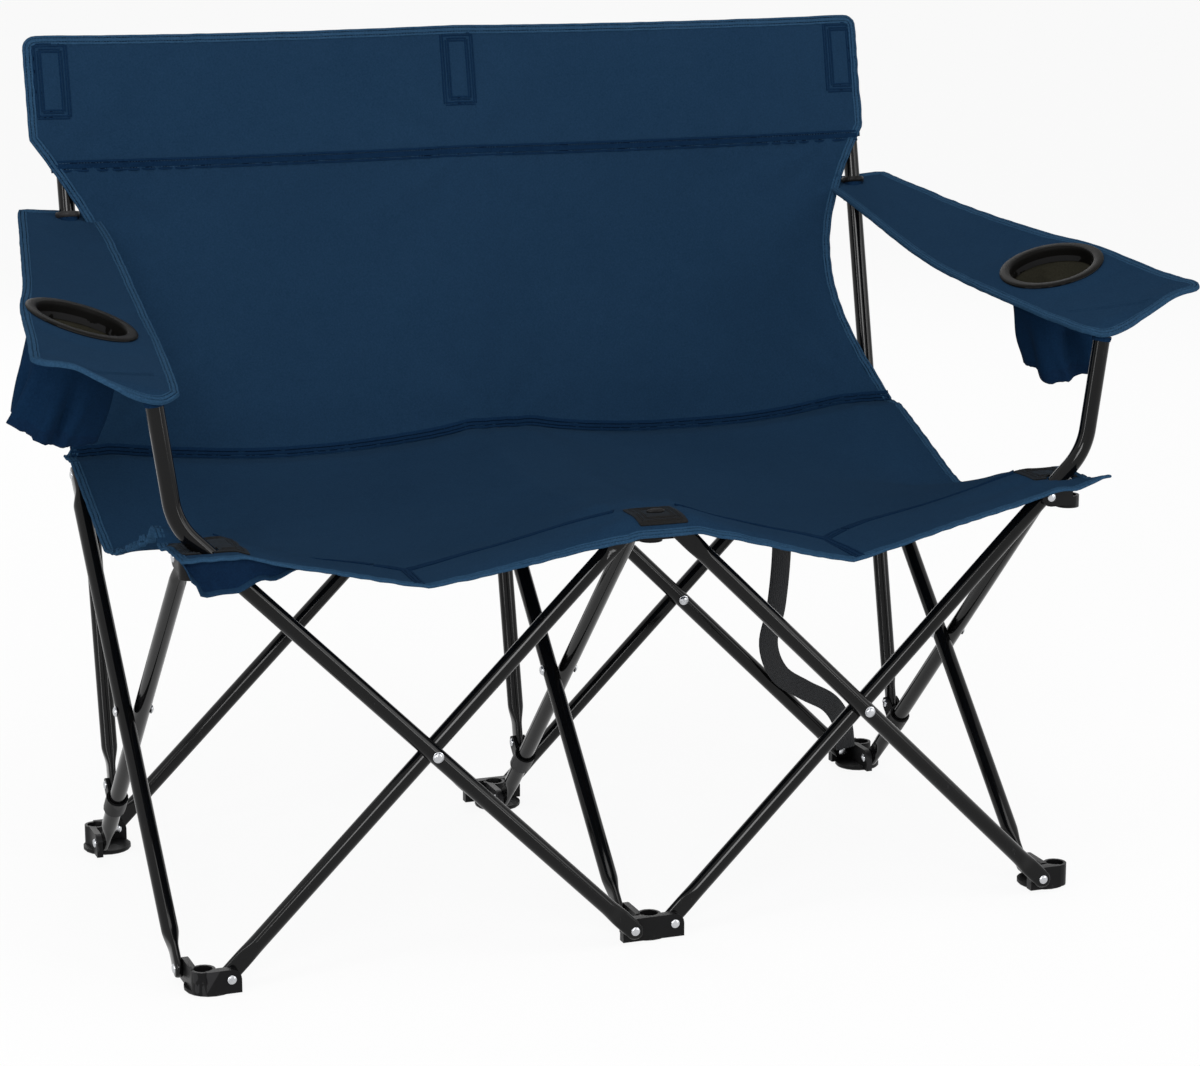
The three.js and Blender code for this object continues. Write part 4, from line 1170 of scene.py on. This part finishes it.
def makeSeat():
    half = rowPitch / 2
    rearStart = rowPitch - deckEnd
    rearEdge = rowPitch - seat["rearInset"]
    front = -seat["frontReach"]
    side = seat["side"]
    xMarks = [-side, 0, side] + [cx + sign * armHoleHalf[0] for cx, _ in armHoles
                                 for sign in (-1, 1)]
    yMarks = [front, deckEnd, half, rearStart, rearEdge] + [
        cy + sign * armHoleHalf[1] for _, cy in armHoles for sign in (-1, 1)]
    grid = clothGrid(stations(xMarks, seat["step"]), stations(yMarks, seat["step"]), seatPoint)

    def whole(x, y):
        notch = any(abs(x - column * columnPitch) < 0.0105 and y > rowPitch - 0.0245
                    for column in sides.values())
        return not notch and not inArmHole(x, y)

    regions = {
        "front_edge": lambda x, y: y < deckEnd and whole(x, y),
        "rear_edge": lambda x, y: y > rearStart and whole(x, y),
        "front_left": lambda x, y: deckEnd < y < half and x < 0,
        "front_right": lambda x, y: deckEnd < y < half and x > 0,
        "rear_left": lambda x, y: half < y < rearStart and x < 0,
        "rear_right": lambda x, y: half < y < rearStart and x > 0,
    }
    rim = [(-side, rearEdge), (-side, front), (side, front), (side, rearEdge)]
    rimLine = followed(seatPoint, rim, (0, half))
    seams = panelSeam()
    for part, keep in regions.items():
        body, squash = seatMotion(part)

        def like(piece, *nodes):
            return settle(piece, body, "navy_fabric", nodes, squash)

        piece, area = clothPiece(grid, f"seat_{part}_cloth", keep, seat["thickness"], [navy])
        like(piece, "seat_front" if part.startswith("front") else "seat_rear")
        width = 2 * side if part.endswith("edge") else side
        declareSheet(piece, width, area / width * 1.02, area,
                     ["hub_front_center_moulding", "hub_rear_center_moulding"])
        lines = runsOf(rimLine, keep)
        if lines:
            makeHem(f"seat_{part}", lines, like)
        lines = [run for line in seams for run in runsOf(line, keep)]
        if lines:
            tape = bmesh.new()
            ribbon(tape, lines, seamSection(0.0105, 0.0013, (-0.0026, 0.0026)))
            like(sewnPiece(tape, f"seat_{part}_seam", [navyShade, darkThread]))
    grid.free()


# the loose corner of the seat's underside that hangs before the left front hub
def makeFlap():
    depths = [(-0.503, 0.002), (-0.492, 0.020), (-0.482, 0.036), (-0.452, 0.033),
              (-0.417, 0.017), (-0.386, 0.001)]

    def flapPoint(x, v):
        for (x0, d0), (x1, d1) in zip(depths, depths[1:]):
            if x <= x1 or x1 == depths[-1][0]:
                depth = lerp(d0, d1, smooth((x - x0) / (x1 - x0)))
                break
        top = seatPoint(x, -seat["frontReach"] + 0.003)
        billow = 0.006 * math.sin(math.pi * v) + 0.0025 * math.sin(x * 120 + 2 * v)
        return top + Vector((0, 0.004 + billow * v, -0.001 - depth * v))

    marks = [place for place, _ in depths]
    grid = clothGrid(stations(marks, 0.005), stations([0, 1], 0.125), flapPoint)
    for face in grid.faces:
        face.normal_flip()
    grid.normal_update()
    body, squash = seatMotion("front_edge")
    piece, area = clothPiece(grid, "seat_corner_flap", lambda u, v: True, 0.0015, [lining])
    settle(piece, body, "navy_fabric", (), squash)
    declareSheet(piece, 0.118, area / 0.118 * 1.02, area, ["seat_front_edge_cloth"])
    grid.free()
    line = followed(flapPoint, [(depths[0][0], 1.0), (depths[-1][0], 1.0)], (-0.45, 0.5))
    band = bmesh.new()
    ribbon(band, [line], seamSection(0.0050, 0.0009, (0.0,)))
    settle(sewnPiece(band, "seat_corner_flap_hem", [navy, darkThread]), body, "navy_fabric",
           (), squash)


makeSeat()
makeFlap()
print("seat made")


# back: x across and h up from its bottom, both in metres on the cut
back = {
    "side": columnPitch + 0.025, "sag": 0.018, "bandSagShare": 0.12, "topDip": 0.002,
    "band": 0.145, "waistLeft": 0.074, "waistRight": 0.061, "thickness": 0.0018,
    "step": 0.0075, "corner": 0.014, "shift": -0.013, "aboveLeft": 0.031,
    "aboveRight": 0.012,
}
backOffset = chair["tubeRadius"] + 0.0008 + chair["clothThickness"] / 2
backForward = Vector((0, -math.cos(postLean), math.sin(postLean)))
backTop = post["length"] + post["cap"] + chair["gap"] + chair["clothThickness"]
backBottom = ((clothTop + 2 * chair["gap"] - clipZ - backOffset * math.sin(postLean))
              / math.cos(postLean))
backHeight = backTop - backBottom
bandAt = backHeight - back["band"]


def roundCorner(a, b, radius):
    if a >= radius or b >= radius or a < 0 or b < 0:
        return a, b
    p, q = radius - a, radius - b
    away = math.hypot(p, q)
    if away < 1e-9:
        return a, b
    share = max(p, q) / away
    return radius - p * share, radius - q * share


def backForm(x, h):
    near, fall = roundCorner(back["side"] - abs(x), backHeight - h, back["corner"])
    x, h = math.copysign(back["side"] - near, x), backHeight - fall
    share = h / backHeight
    trough = hung(clamp(abs(x) / columnPitch))
    s = backBottom + h - back["topDip"] * trough * share
    above = back["aboveLeft"] if x < 0 else back["aboveRight"]
    waist = math.sin(math.pi * clamp(h / (bandAt + above)))
    draw = back["waistLeft"] if x < 0 else back["waistRight"]
    x = x * (1 - draw * waist / back["side"]) + back["shift"] * smooth(h / bandAt)
    belly = math.sin(math.pi * clamp(h / bandAt))
    sag = back["sag"] * trough * (back["bandSagShare"] * share
                                  + (1 - back["bandSagShare"]) * belly)
    place = postPoint(x, s) + backForward * (backOffset + chair["clothThickness"] / 2 - sag)
    seam = 1 - smooth(h / 0.05)
    if seam > 0:
        seatLevel = seatPoint(x, place.y).z - origin.z
        foot = clothTop + 2 * chair["gap"]
        place.z += seam * (seatLevel - foot)
    return place


def backPoint(x, h):
    place = backForm(x, h)
    lift = 0.0
    for side in (-1, 0, 1):
        lift += crease(x, h, side * columnPitch, bandAt, 9, 0.26, 0.0011, side * 0.7)
        lift += crease(x, h, side * columnPitch, 0.0, 9, 0.24, 0.0012, side + 0.4)
    lift += 0.0013 * noise.noise(Vector((x * 6, h * 6, 7.3)))
    lift += 0.0004 * noise.noise(Vector((x * 24, h * 24, 4.7)))
    sideEdge = back["side"] - abs(x)
    seam = min(abs(h - bandAt), h)
    pucker = 0.0006 * math.sin(h * 300 + 2 * math.sin(h * 43)) * (1 - smooth(sideEdge / 0.02))
    pucker += 0.0006 * math.sin(x * 290 + 2 * math.sin(x * 31)) * (1 - smooth(seam / 0.018))
    lift *= smooth(h / 0.02)
    return origin + place + backForward * min(lift + pucker, 0.003)


def makeBack():
    side = back["side"]
    across = stations([-side, -side + back["corner"], 0, side - back["corner"], side],
                      back["step"])
    along = stations([0, bandAt, backHeight - back["corner"], backHeight], back["step"])
    grid = clothGrid(across, along, backPoint)
    squash = {"axis": (1, 0, 0), "anchor": tuple(at(0, 0, 0)), "keep": foldedShare}

    def like(piece, *nodes):
        return settle(piece, "back_post_center", "navy_fabric", nodes, squash)

    piece, area = clothPiece(grid, "backrest_cloth", lambda x, h: True, back["thickness"], [navy])
    like(piece, "backrest")
    declareSheet(piece, 2 * side, area / (2 * side) * 1.02, area,
                 ["back_post_left_tube", "back_post_right_tube"])
    grid.free()
    middle = (0, backHeight / 2)
    rim = [(side, 0.002), (side, backHeight), (-side, backHeight), (-side, 0.002)]
    makeHem("backrest", [followed(backPoint, rim, middle)], like)
    seams = bmesh.new()
    band = [followed(backPoint, [(-side + 0.001, bandAt), (side - 0.001, bandAt)], middle)]
    ribbon(seams, band, seamSection(0.0124, 0.0008, (-0.0034, 0.0034)))
    foot = [followed(backPoint, [(-side + 0.001, 0.006), (side - 0.001, 0.006)], middle)]
    ribbon(seams, foot, seamSection(0.0110, 0.0009, (-0.0016, 0.0026)))
    box = {"width": 0.036, "height": 0.080, "top": 0.010}
    for centre in (-columnPitch + 0.004, -0.002, columnPitch + 0.002):
        for inset in (0.0, 0.0062):
            low, high = centre - box["width"] / 2 + inset, centre + box["width"] / 2 - inset
            h0 = backHeight - box["top"] - box["height"] + inset
            h1 = backHeight - box["top"] - inset
            ring = [(low, h0), (high, h0), (high, h1), (low, h1), (low, h0)]
            for ends in zip(ring, ring[1:]):
                line = followed(backPoint, list(ends), middle)
                ribbon(seams, [line], seamSection(0.0040, 0.0006, (0.0,)), 1, 0.0, 0.0001)
    like(sewnPiece(seams, "backrest_seams", [navyShade, darkThread]))
    for inset, name in ((0.0034, "band"), (-0.0034, "band_low")):
        sewn = bmesh.new()
        stitches(sewn, band, inset, 0.0001)
        like(sewnPiece(sewn, f"backrest_{name}_thread", [thread]))


# pockets that the posts stand in, behind the cloth
def makeSleeves():
    radius = chair["tubeRadius"] + 0.0008 + 0.0022
    bandStart = backBottom + bandAt
    for side, sign in sides.items():
        x = sign * columnPitch
        stops = [(lerp(bandStart, backTop - radius * 0.55, step / 22), 1) for step in range(23)]
        stops += [(backTop - radius * fall, share) for fall, share in
                  ((0.35, 0.93), (0.18, 0.76), (0.08, 0.52), (0.02, 0.25))]
        rings = []
        for s, share in stops:
            ring = []
            for number in range(32):
                angle = number * 2 * math.pi / 32
                folds = 1 + 0.045 * noise.noise(Vector((math.cos(angle) * 2, s * 18, x * 9)))
                u = math.cos(angle) * radius * folds * share * 1.1
                w = math.sin(angle) * radius * folds * share
                ring.append(postPoint(x + u, s) - backForward * w + origin)
            rings.append(ring)
        bm = bmesh.new()
        merge(bm, sweep(rings))
        settle(sewnPiece(bm, f"post_sleeve_{side}", [navy]), f"back_post_{side}", "navy_fabric")


makeBack()
makeSleeves()
print("back made")


# arm pads with their cup holders
pad = {
    "slopeOut": 0.298, "slopeBack": 0.156, "level": 0.1764, "levelFrom": 0.017,
    "frontInner": 0.025, "frontOuter": 0.148, "rearInner": -0.025, "rearOuter": 0.044,
    "bow": 0.012, "rearSlope": 0.08, "rearRise": 0.016,
    "frontLap": 0.012, "rearLap": 0.014, "corner": 0.018, "thickness": 0.0032, "step": 0.006,
    "sag": 0.006, "cupReach": 0.068, "cupY": 0.170, "hole": 0.0488, "cupBulge": 0.0065,
}
cup = {"bore": 0.0465, "rim": 0.0585, "wall": 0.0473, "foot": -0.013, "low": 0.0021,
       "crown": 0.0052, "pouch": 0.114, "can": 0.0345}
padZ = hubPivot + pad["level"]


# the pad's surface: it leans less and rises a little where it is drawn round the back post
def padLevel(x, y):
    twist = smooth((y - 0.24) / 0.30)
    rise = pad["slopeBack"] * y + pad["rearRise"] * twist - pad["slopeOut"] * pad["levelFrom"]
    return padZ + rise + lerp(pad["slopeOut"], pad["rearSlope"], twist) * (x - columnPitch)


rearS = ((padLevel(columnPitch, 0) + pad["rearRise"] + pad["slopeBack"] * clipY - clipZ)
         / (math.cos(postLean) - pad["slopeBack"] * math.sin(postLean)))
padRearY = postPoint(0, rearS).y + pad["rearLap"]
armBend = chair["openAngle"] - arm["lean"]
armEndX = -arm["bendRadius"] * (1 - math.cos(armBend)) - arm["post"] * math.sin(armBend)
armEndZ = (chair["legLength"] + arm["run"] + arm["bendRadius"] * math.sin(armBend)
           + arm["post"] * math.cos(armBend))
armX = (chair["insetX"] + armEndX * math.cos(chair["openAngle"])
        + armEndZ * math.sin(chair["openAngle"]))
armZ = (chair["footPivot"] - armEndX * math.sin(chair["openAngle"])
        + armEndZ * math.cos(chair["openAngle"]))


def armPoint(way, y, s):
    return Vector((way * (armX + s * math.sin(arm["lean"])), y, armZ + s * math.cos(arm["lean"])))


# a round sleeve of cloth along a tube, wide at its far end
def sleeveRings(point, low, high, tight, wide, seed):
    axis = (point(high) - point(low)).normalized()
    beside = axis.cross(Vector((0, 1, 0))).normalized()
    onward = beside.cross(axis)
    rings = []
    for step in range(11):
        share = step / 10
        ring = []
        for number in range(28):
            angle = number * 2 * math.pi / 28
            folds = 1 + 0.06 * noise.noise(Vector((math.cos(angle) * 1.7,
                                                   math.sin(angle) * 1.7, share * 3 + seed)))
            radius = lerp(tight, wide, smooth(share)) * folds
            ring.append(point(lerp(low, high, share)) + origin
                        + (beside * math.cos(angle) + onward * math.sin(angle)) * radius)
        rings.append(ring)
    return rings


def makeCupRing(side, plane, centre):
    rim, crown, low = cup["rim"], cup["crown"], cup["low"]
    profile = [(cup["bore"], cup["foot"]), (cup["wall"], cup["foot"]), (cup["wall"], low),
               (rim - 0.0005, low), (rim, low + 0.0007), (rim - 0.0003, low + 0.0018),
               (rim - 0.0014, crown - 0.0006), (rim - 0.0026, crown),
               (cup["bore"] + 0.0022, crown - 0.0004), (cup["bore"] + 0.0012, crown - 0.0009),
               (cup["bore"] + 0.0002, crown - 0.0026), (cup["bore"], crown - 0.0050),
               (cup["bore"], cup["foot"])]
    ring = bmesh.new()
    merge(ring, turned(profile, 160), Matrix.Translation(centre) @ plane)
    settle(addPiece(ring, f"cup_ring_{side}_rim", [gloss], 38), f"cup_{side}", "black_plastic",
           [f"cup_ring_{side}"])


pouchFolds = {"left": ((0.64, -0.50), (1.72, -0.20), (3.8, 0.1)),
              "right": ((-2.12, 0.34), (1.0, 0.1))}


# the soft bag below the ring: folds that deepen towards its floor, whose lowest faces are given the darker lining
# colour
def makePouch(side, way, plane, centre, up):
    rings = []
    steps, count, top = 30, 84, -0.0023
    for step in range(steps + 1):
        share = step / steps
        places = []
        for number in range(count):
            angle = number * 2 * math.pi / count
            square = 1 + 0.12 * share * (abs(math.sin(2 * angle)) ** 1.5)
            deep = smooth((share - 0.18) * 1.6)
            folds = 0.0050 * deep * math.sin(5 * angle + way + 1.2 * share)
            folds += 0.0034 * share * noise.noise(Vector((math.cos(angle) * 2.4,
                                                          math.sin(angle) * 2.4, share * 2.2)))
            folds -= 0.0050 * share * max(0.0, math.sin(3 * angle + 2.2)) ** 6
            for fold, slant in pouchFolds[side]:
                away = math.remainder(angle - fold - slant * share, 2 * math.pi)
                folds -= 0.0140 * deep * math.exp(-(away / 0.15) ** 2)
                folds += 0.0050 * deep * math.exp(-((abs(away) - 0.34) / 0.15) ** 2)
            reach = max((0.0510 - 0.0088 * share) * square + folds, cup["can"])
            ragged = 0.0022 * noise.noise(Vector((math.cos(angle) * 9, math.sin(angle) * 9, 3)))
            sway = (0.0040 * math.sin(2.4 * angle + 1) + ragged) * share ** 3
            places.append(Vector((math.cos(angle) * reach, math.sin(angle) * reach,
                                  top - cup["pouch"] * share + sway)))
        rings.append(places)
    for shrink, sink in ((0.97, 0.0012), (0.86, 0.0022), (0.6, 0.0034), (0.3, 0.0040)):
        rings.append([Vector((p.x * shrink, p.y * shrink, p.z - sink)) for p in rings[steps]])
    bag = sweep(rings, False)
    ends = [edge for edge in bag.edges if edge.is_boundary
            and edge.verts[0].co.z < top - cup["pouch"] * 0.8]
    bmesh.ops.holes_fill(bag, edges=ends, sides=0)
    bmesh.ops.recalc_face_normals(bag, faces=bag.faces)
    lowest = min(bag.faces, key=lambda face: face.calc_center_median().z)
    if lowest.normal.z > 0:
        bmesh.ops.reverse_faces(bag, faces=bag.faces)
    bmesh.ops.solidify(bag, geom=list(bag.faces), thickness=0.0014)
    bmesh.ops.recalc_face_normals(bag, faces=bag.faces)
    for face in bag.faces:
        middle = face.calc_center_median()
        inward = Vector((middle.x, middle.y, 0)).dot(face.normal) < 0
        onFloor = abs(face.normal.z) > 0.75
        if inward or (onFloor and face.normal.z > 0):
            face.material_index = 1
        elif middle.z < top - cup["pouch"] * 0.90:
            face.material_index = 2
    pouch = bmesh.new()
    merge(pouch, bag, Matrix.Translation(centre) @ plane, None)
    piece = sewnPiece(pouch, f"cup_pouch_{side}_bag", [navyShade, cupLining, lining])
    settle(piece, f"cup_{side}", "navy_fabric", [f"cup_pouch_{side}"],
           {"axis": tuple(up), "anchor": tuple(centre), "keep": 0.15})


def makePad(side, way, y0):
    up = Vector((-way * pad["slopeOut"], -pad["slopeBack"], 1)).normalized()
    out = Vector((way, 0, pad["slopeOut"])).normalized()
    along = up.cross(out)
    centre = Vector((way * (columnPitch + pad["cupReach"]), pad["cupY"], 0))
    centre.z = padLevel(abs(centre.x), centre.y)
    centre += origin
    front = y0 - pad["frontLap"]
    depth = padRearY - front
    frontWidth = pad["frontOuter"] - pad["frontInner"]
    postAt = postPoint(way * columnPitch, rearS)

    def padPoint(u, v):
        deep = v / depth
        inner = lerp(pad["frontInner"], pad["rearInner"], deep) - pad["bow"] * hung(clamp(deep))
        outer = lerp(pad["frontOuter"], pad["rearOuter"], deep)
        outer += pad["cupBulge"] * math.exp(-((front + v - pad["cupY"]) / 0.07) ** 2)
        width = outer - inner
        left = u / frontWidth * width
        ahead = v
        if left < width / 2:
            left, ahead = roundCorner(left, v, pad["corner"])
        else:
            far, ahead = roundCorner(width - left, v, pad["corner"] * 0.5)
            left = width - far
        x = columnPitch + inner + left
        y = front + ahead + (0.008 * left / width if ahead < 0.1 else 0.008 * left / width
                             * (1 - smooth((ahead - 0.1) / 0.1)))
        share = left / width
        rim = min(left, width - left, ahead, 0.05)
        nearFront = 1 - smooth(ahead / lerp(0.012, 0.045, smooth((x - 0.545) / 0.03)))
        lip = 0.0045 * math.exp(-((x - 0.528) / 0.034) ** 2) - 0.006 * math.exp(
            -((x - 0.603) / 0.026) ** 2)
        sag = pad["sag"] * hung(clamp(deep)) * (0.4 + 0.6 * hung(clamp(share)))
        ripple = 0.0007 * noise.noise(Vector((x * 15, y * 15, way * 5.0)))
        ripple += 0.0003 * math.sin(y * 130 + 3 * math.sin(y * 31)) * (1 - smooth(rim / 0.03))
        cupNear = math.hypot(way * x - centre.x + origin.x, y - pad["cupY"])
        loose = smooth((cupNear - 0.058) / 0.03)
        height = pad["thickness"] / 2 + (ripple - sag) * loose - lip * nearFront
        return Vector((way * x, y, padLevel(x, y))) + up * height + origin

    grid = clothGrid(stations([0, pad["corner"], frontWidth], pad["step"]),
                     stations([0, pad["corner"], depth], pad["step"]), padPoint)
    if way < 0:
        bmesh.ops.reverse_faces(grid, faces=grid.faces)
    inside = [face for face in grid.faces
              if min((vert.co - centre).length for vert in face.verts) < pad["hole"] - 0.0015]
    bmesh.ops.delete(grid, geom=inside, context="FACES")
    for vert in grid.verts:
        reach = vert.co - centre
        if vert.is_boundary and reach.length < pad["hole"] + 0.010:
            level = reach.dot(up)
            around = (reach - up * level).normalized()
            vert.co = centre + around * pad["hole"] + up * level
    grid.normal_update()
    towards = (armPoint(way, y0, 0) - postAt).normalized()
    squash = {"axis": tuple(towards), "anchor": tuple(postAt + origin),
              "keep": 0.288 if way < 0 else 0.273}

    def like(piece, *nodes):
        return settle(piece, f"arm_{side}", "navy_fabric", nodes, squash)

    def whole(u, v):
        place = padPoint(u, v) - origin
        return math.hypot(place.x - postAt.x, place.y - postAt.y) > 0.0115

    piece, area = clothPiece(grid, f"arm_pad_{side}_cloth", whole, pad["thickness"], [navy])
    like(piece, f"arm_pad_{side}")
    declareSheet(piece, 0.14, depth, area, [f"arm_leg_{side}_tube", f"back_post_{side}_tube"])
    grid.free()
    middle = (frontWidth / 2, depth / 2)
    start = (frontWidth * 0.4, depth)
    rim = [start, (frontWidth, depth), (frontWidth, 0), (0, 0), (0, depth), start]
    line = followed(padPoint, rim, middle)
    seams = [followed(padPoint, [(0.012, 0.062), (frontWidth * 0.60, 0.012)], middle),
             followed(padPoint, [(0.012, 0.068), (frontWidth * 0.64, 0.012)], middle)]
    if way < 0:
        line = [(place, -normal, flat) for place, normal, flat in line]
        seams = [[(place, -normal, flat) for place, normal, flat in seam] for seam in seams]
    half = hem["half"]
    hem["half"], hem["cloth"] = pad["thickness"] / 2 + 0.0007, pad["thickness"] / 2
    makeHem(f"arm_pad_{side}", [line], like, way)
    hem["half"], hem["cloth"] = half, seat["thickness"] / 2
    sewn = bmesh.new()
    ribbon(sewn, seams, seamSection(0.0024, 0.0003, (0.0,)), 1, 0.0, 0.0001)
    like(sewnPiece(sewn, f"arm_pad_{side}_seams", [navy, darkThread]))

    # the pocket over the arm's post and the loop round the back post
    pocket = bmesh.new()
    merge(pocket, sweep(sleeveRings(lambda s: armPoint(way, y0, s), -0.008, -0.003, 0.0098,
                                    0.0104, way)))
    merge(pocket, sweep(sleeveRings(lambda s: postPoint(way * columnPitch, s), rearS + 0.002,
                                    rearS - 0.020, 0.0118, 0.0128, way + 4)))
    like(sewnPiece(pocket, f"arm_sleeves_{side}", [navyShade]))
    collar = bmesh.new()
    profile = [(0.0100, -0.003), (0.0126, -0.003), (0.0136, -0.0018), (0.0136, 0.0022),
               (0.0126, 0.0034), (0.0106, 0.0034), (0.0100, 0.0026), (0.0100, -0.003)]
    lean = postPoint(0, 1) - postPoint(0, 0)
    merge(collar, turned(profile, 32), pointing(postPoint(way * columnPitch, rearS + 0.004)
                                                + origin, lean))
    like(addPiece(collar, f"arm_collar_{side}", [plastic], 45))
    plane = Matrix((out, along, up)).transposed().to_4x4()
    makeCupRing(side, plane, centre)
    makePouch(side, way, plane, centre, up)


for side, way, y0 in (("left", -1, -chair["layer"]), ("right", 1, 0.0)):
    makePad(side, way, y0)
print("arms made")


# reinforcement patches and the oval button
patch = {"thickness": 0.0016, "corner": 0.0022, "frame": 0.0058}
patchPlaces = {"left": (-0.4640, 0.0040, 0.034), "center": (0, -0.0140, 0.0265),
               "right": (0.4690, 0.0250, 0.026)}


def makePatches():
    for side, (x, y, half) in patchPlaces.items():
        def patchPoint(u, v):
            left, low = roundCorner(half - abs(u), half - abs(v), patch["corner"])
            rim = min(left, low)
            rise = chair["gap"] + patch["thickness"] - 0.0007 * (1 - smooth(rim / 0.0022))
            rise += 0.0004 * noise.noise(Vector((u * 60, v * 60, x * 9 + 2)))
            place = seatPoint(x + math.copysign(half - left, u), y + math.copysign(half - low, v))
            return place + Vector((0, 0, rise))

        marks = stations([-half, -half + 0.0025, half - 0.0025, half], 0.003)
        grid = clothGrid(marks, marks, patchPoint)
        piece, area = clothPiece(grid, f"seat_patch_{side}_leather",
                                 lambda u, v: not inArmHole(x + u, y + v),
                                 patch["thickness"] * 0.9, [leather])
        grid.free()

        def like(piece, *nodes):
            return settle(piece, f"hub_front_{side}", "patch", nodes)

        like(piece, f"seat_patch_{side}")
        declareSheet(piece, 2 * half, area / half * 0.51, area, ["seat_front_edge_cloth"])
        frame_, sewn = bmesh.new(), bmesh.new()
        for inset in (patch["frame"], 2 * patch["frame"]):
            reach = half - inset
            ring = [(-reach, -reach), (reach, -reach), (reach, reach), (-reach, reach),
                    (-reach, -reach)]
            for ends in zip(ring, ring[1:]):
                line = followed(patchPoint, list(ends), (0, 0), 0.003)
                lines = runsOf(line, lambda u, v: not inArmHole(x + u, y + v))
                ribbon(frame_, lines, seamSection(0.0028, 0.0006, (0.0,)), 1, 0.0, 0.0001)
                stitches(sewn, lines, 0.0, 0.0002, 1, 0.003, 0.002, 0.00028)
        like(sewnPiece(frame_, f"seat_patch_{side}_frame", [leather, darkThread]))
        like(sewnPiece(sewn, f"seat_patch_{side}_thread", [patchThread]))
    profile = [(0, -0.0012), (0.0042, -0.0012), (0.0045, 0.0008), (0.0044, 0.0020),
               (0.0034, 0.0031), (0.0018, 0.0037), (0, 0.0038)]
    bm = bmesh.new()
    x, y, _ = patchPlaces["center"]
    place = seatPoint(x, y) + Vector((0, 0, 2 * chair["gap"] + patch["thickness"]))
    merge(bm, turned(profile, 32), Matrix.Translation(place) @ Matrix.Rotation(
        math.radians(4), 4, "X") @ Matrix.Diagonal((2.2, 1, 1, 1)))
    settle(addPiece(bm, "seat_button_oval", [plastic], 50), "hub_front_center", "patch",
           ["seat_button"])


makePatches()
print("patches made")


# studio
def makeStudio():
    scene = bpy.context.scene
    scene.view_settings.view_transform = "Standard"
    bpy.ops.mesh.primitive_plane_add(size=80, location=(0, 0, -0.0004))
    floor = bpy.context.object
    floor.name = "floor"
    material = bpy.data.materials.new("paleFloor")
    material.use_nodes = True
    tree = material.node_tree
    tree.nodes.clear()
    start = Wire(tree)
    diffuse = start.node("ShaderNodeBsdfDiffuse", None, {"Color": (0.93, 0.93, 0.93, 1)})
    glow = start.node("ShaderNodeEmission", None, {"Color": (1, 1, 1, 1), "Strength": 1.0})
    seen = start.node("ShaderNodeLightPath")
    mirrored = Wire(tree, seen.socket.node.outputs["Is Glossy Ray"])
    through = Wire(tree, seen.socket.node.outputs["Is Transmission Ray"])
    direct = start.maths("MAXIMUM", start.maths("MAXIMUM", seen, mirrored), through)
    mixed = start.node("ShaderNodeMixShader", None, {0: direct * 0.91, 1: diffuse, 2: glow})
    start.node("ShaderNodeOutputMaterial", None, {"Surface": mixed})
    floor.data.materials.append(material)
    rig.stage(floor)
    world = bpy.data.worlds.new("studio")
    world.use_nodes = True
    scene.world = world
    tree = world.node_tree
    tree.nodes.clear()
    start = Wire(tree)
    seen = start.node("ShaderNodeLightPath")
    mirrored = Wire(tree, seen.socket.node.outputs["Is Glossy Ray"])
    through = Wire(tree, seen.socket.node.outputs["Is Transmission Ray"])
    direct = start.maths("MAXIMUM", start.maths("MAXIMUM", seen, mirrored), through)
    strength = direct * 0.56 + 0.44
    sky = start.node("ShaderNodeBackground", None, {"Color": (1, 1, 1, 1), "Strength": strength})
    start.node("ShaderNodeOutputWorld", None, {"Surface": sky})
    lamps = {
        "keyLight": ((-1.9, -4.0, 2.3), 1.5, 1.5, 80),
        "topLight": ((-0.2, -0.9, 3.2), 1.6, 1.6, 24),
        "fillLight": ((3.2, -2.4, 1.6), 1.8, 1.8, 26),
        "rimLight": ((0.6, 3.4, 2.4), 2.4, 2.4, 40),
        "leftStrip": ((-3.2, -1.4, 1.2), 0.36, 2.4, 26),
        "rightStrip": ((2.6, -3.4, 1.2), 0.36, 2.4, 24),
    }
    for name, (place, width, height, power) in lamps.items():
        data = bpy.data.lights.new(name, "AREA")
        data.energy = power
        data.shape = "RECTANGLE"
        data.size, data.size_y = width, height
        lamp = bpy.data.objects.new(name, data)
        scene.collection.objects.link(lamp)
        lamp.location = place
        lamp.rotation_euler = (Vector((0, 0, 0.4)) - Vector(place)).to_track_quat(
            "-Z", "Y").to_euler()


makeStudio()
print("studio lit")

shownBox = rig.bounds()
with open("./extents.json", "w") as file:
    json.dump({"cad": [list(corner) for corner in cadBox],
               "shown": [list(corner) for corner in shownBox]}, file)
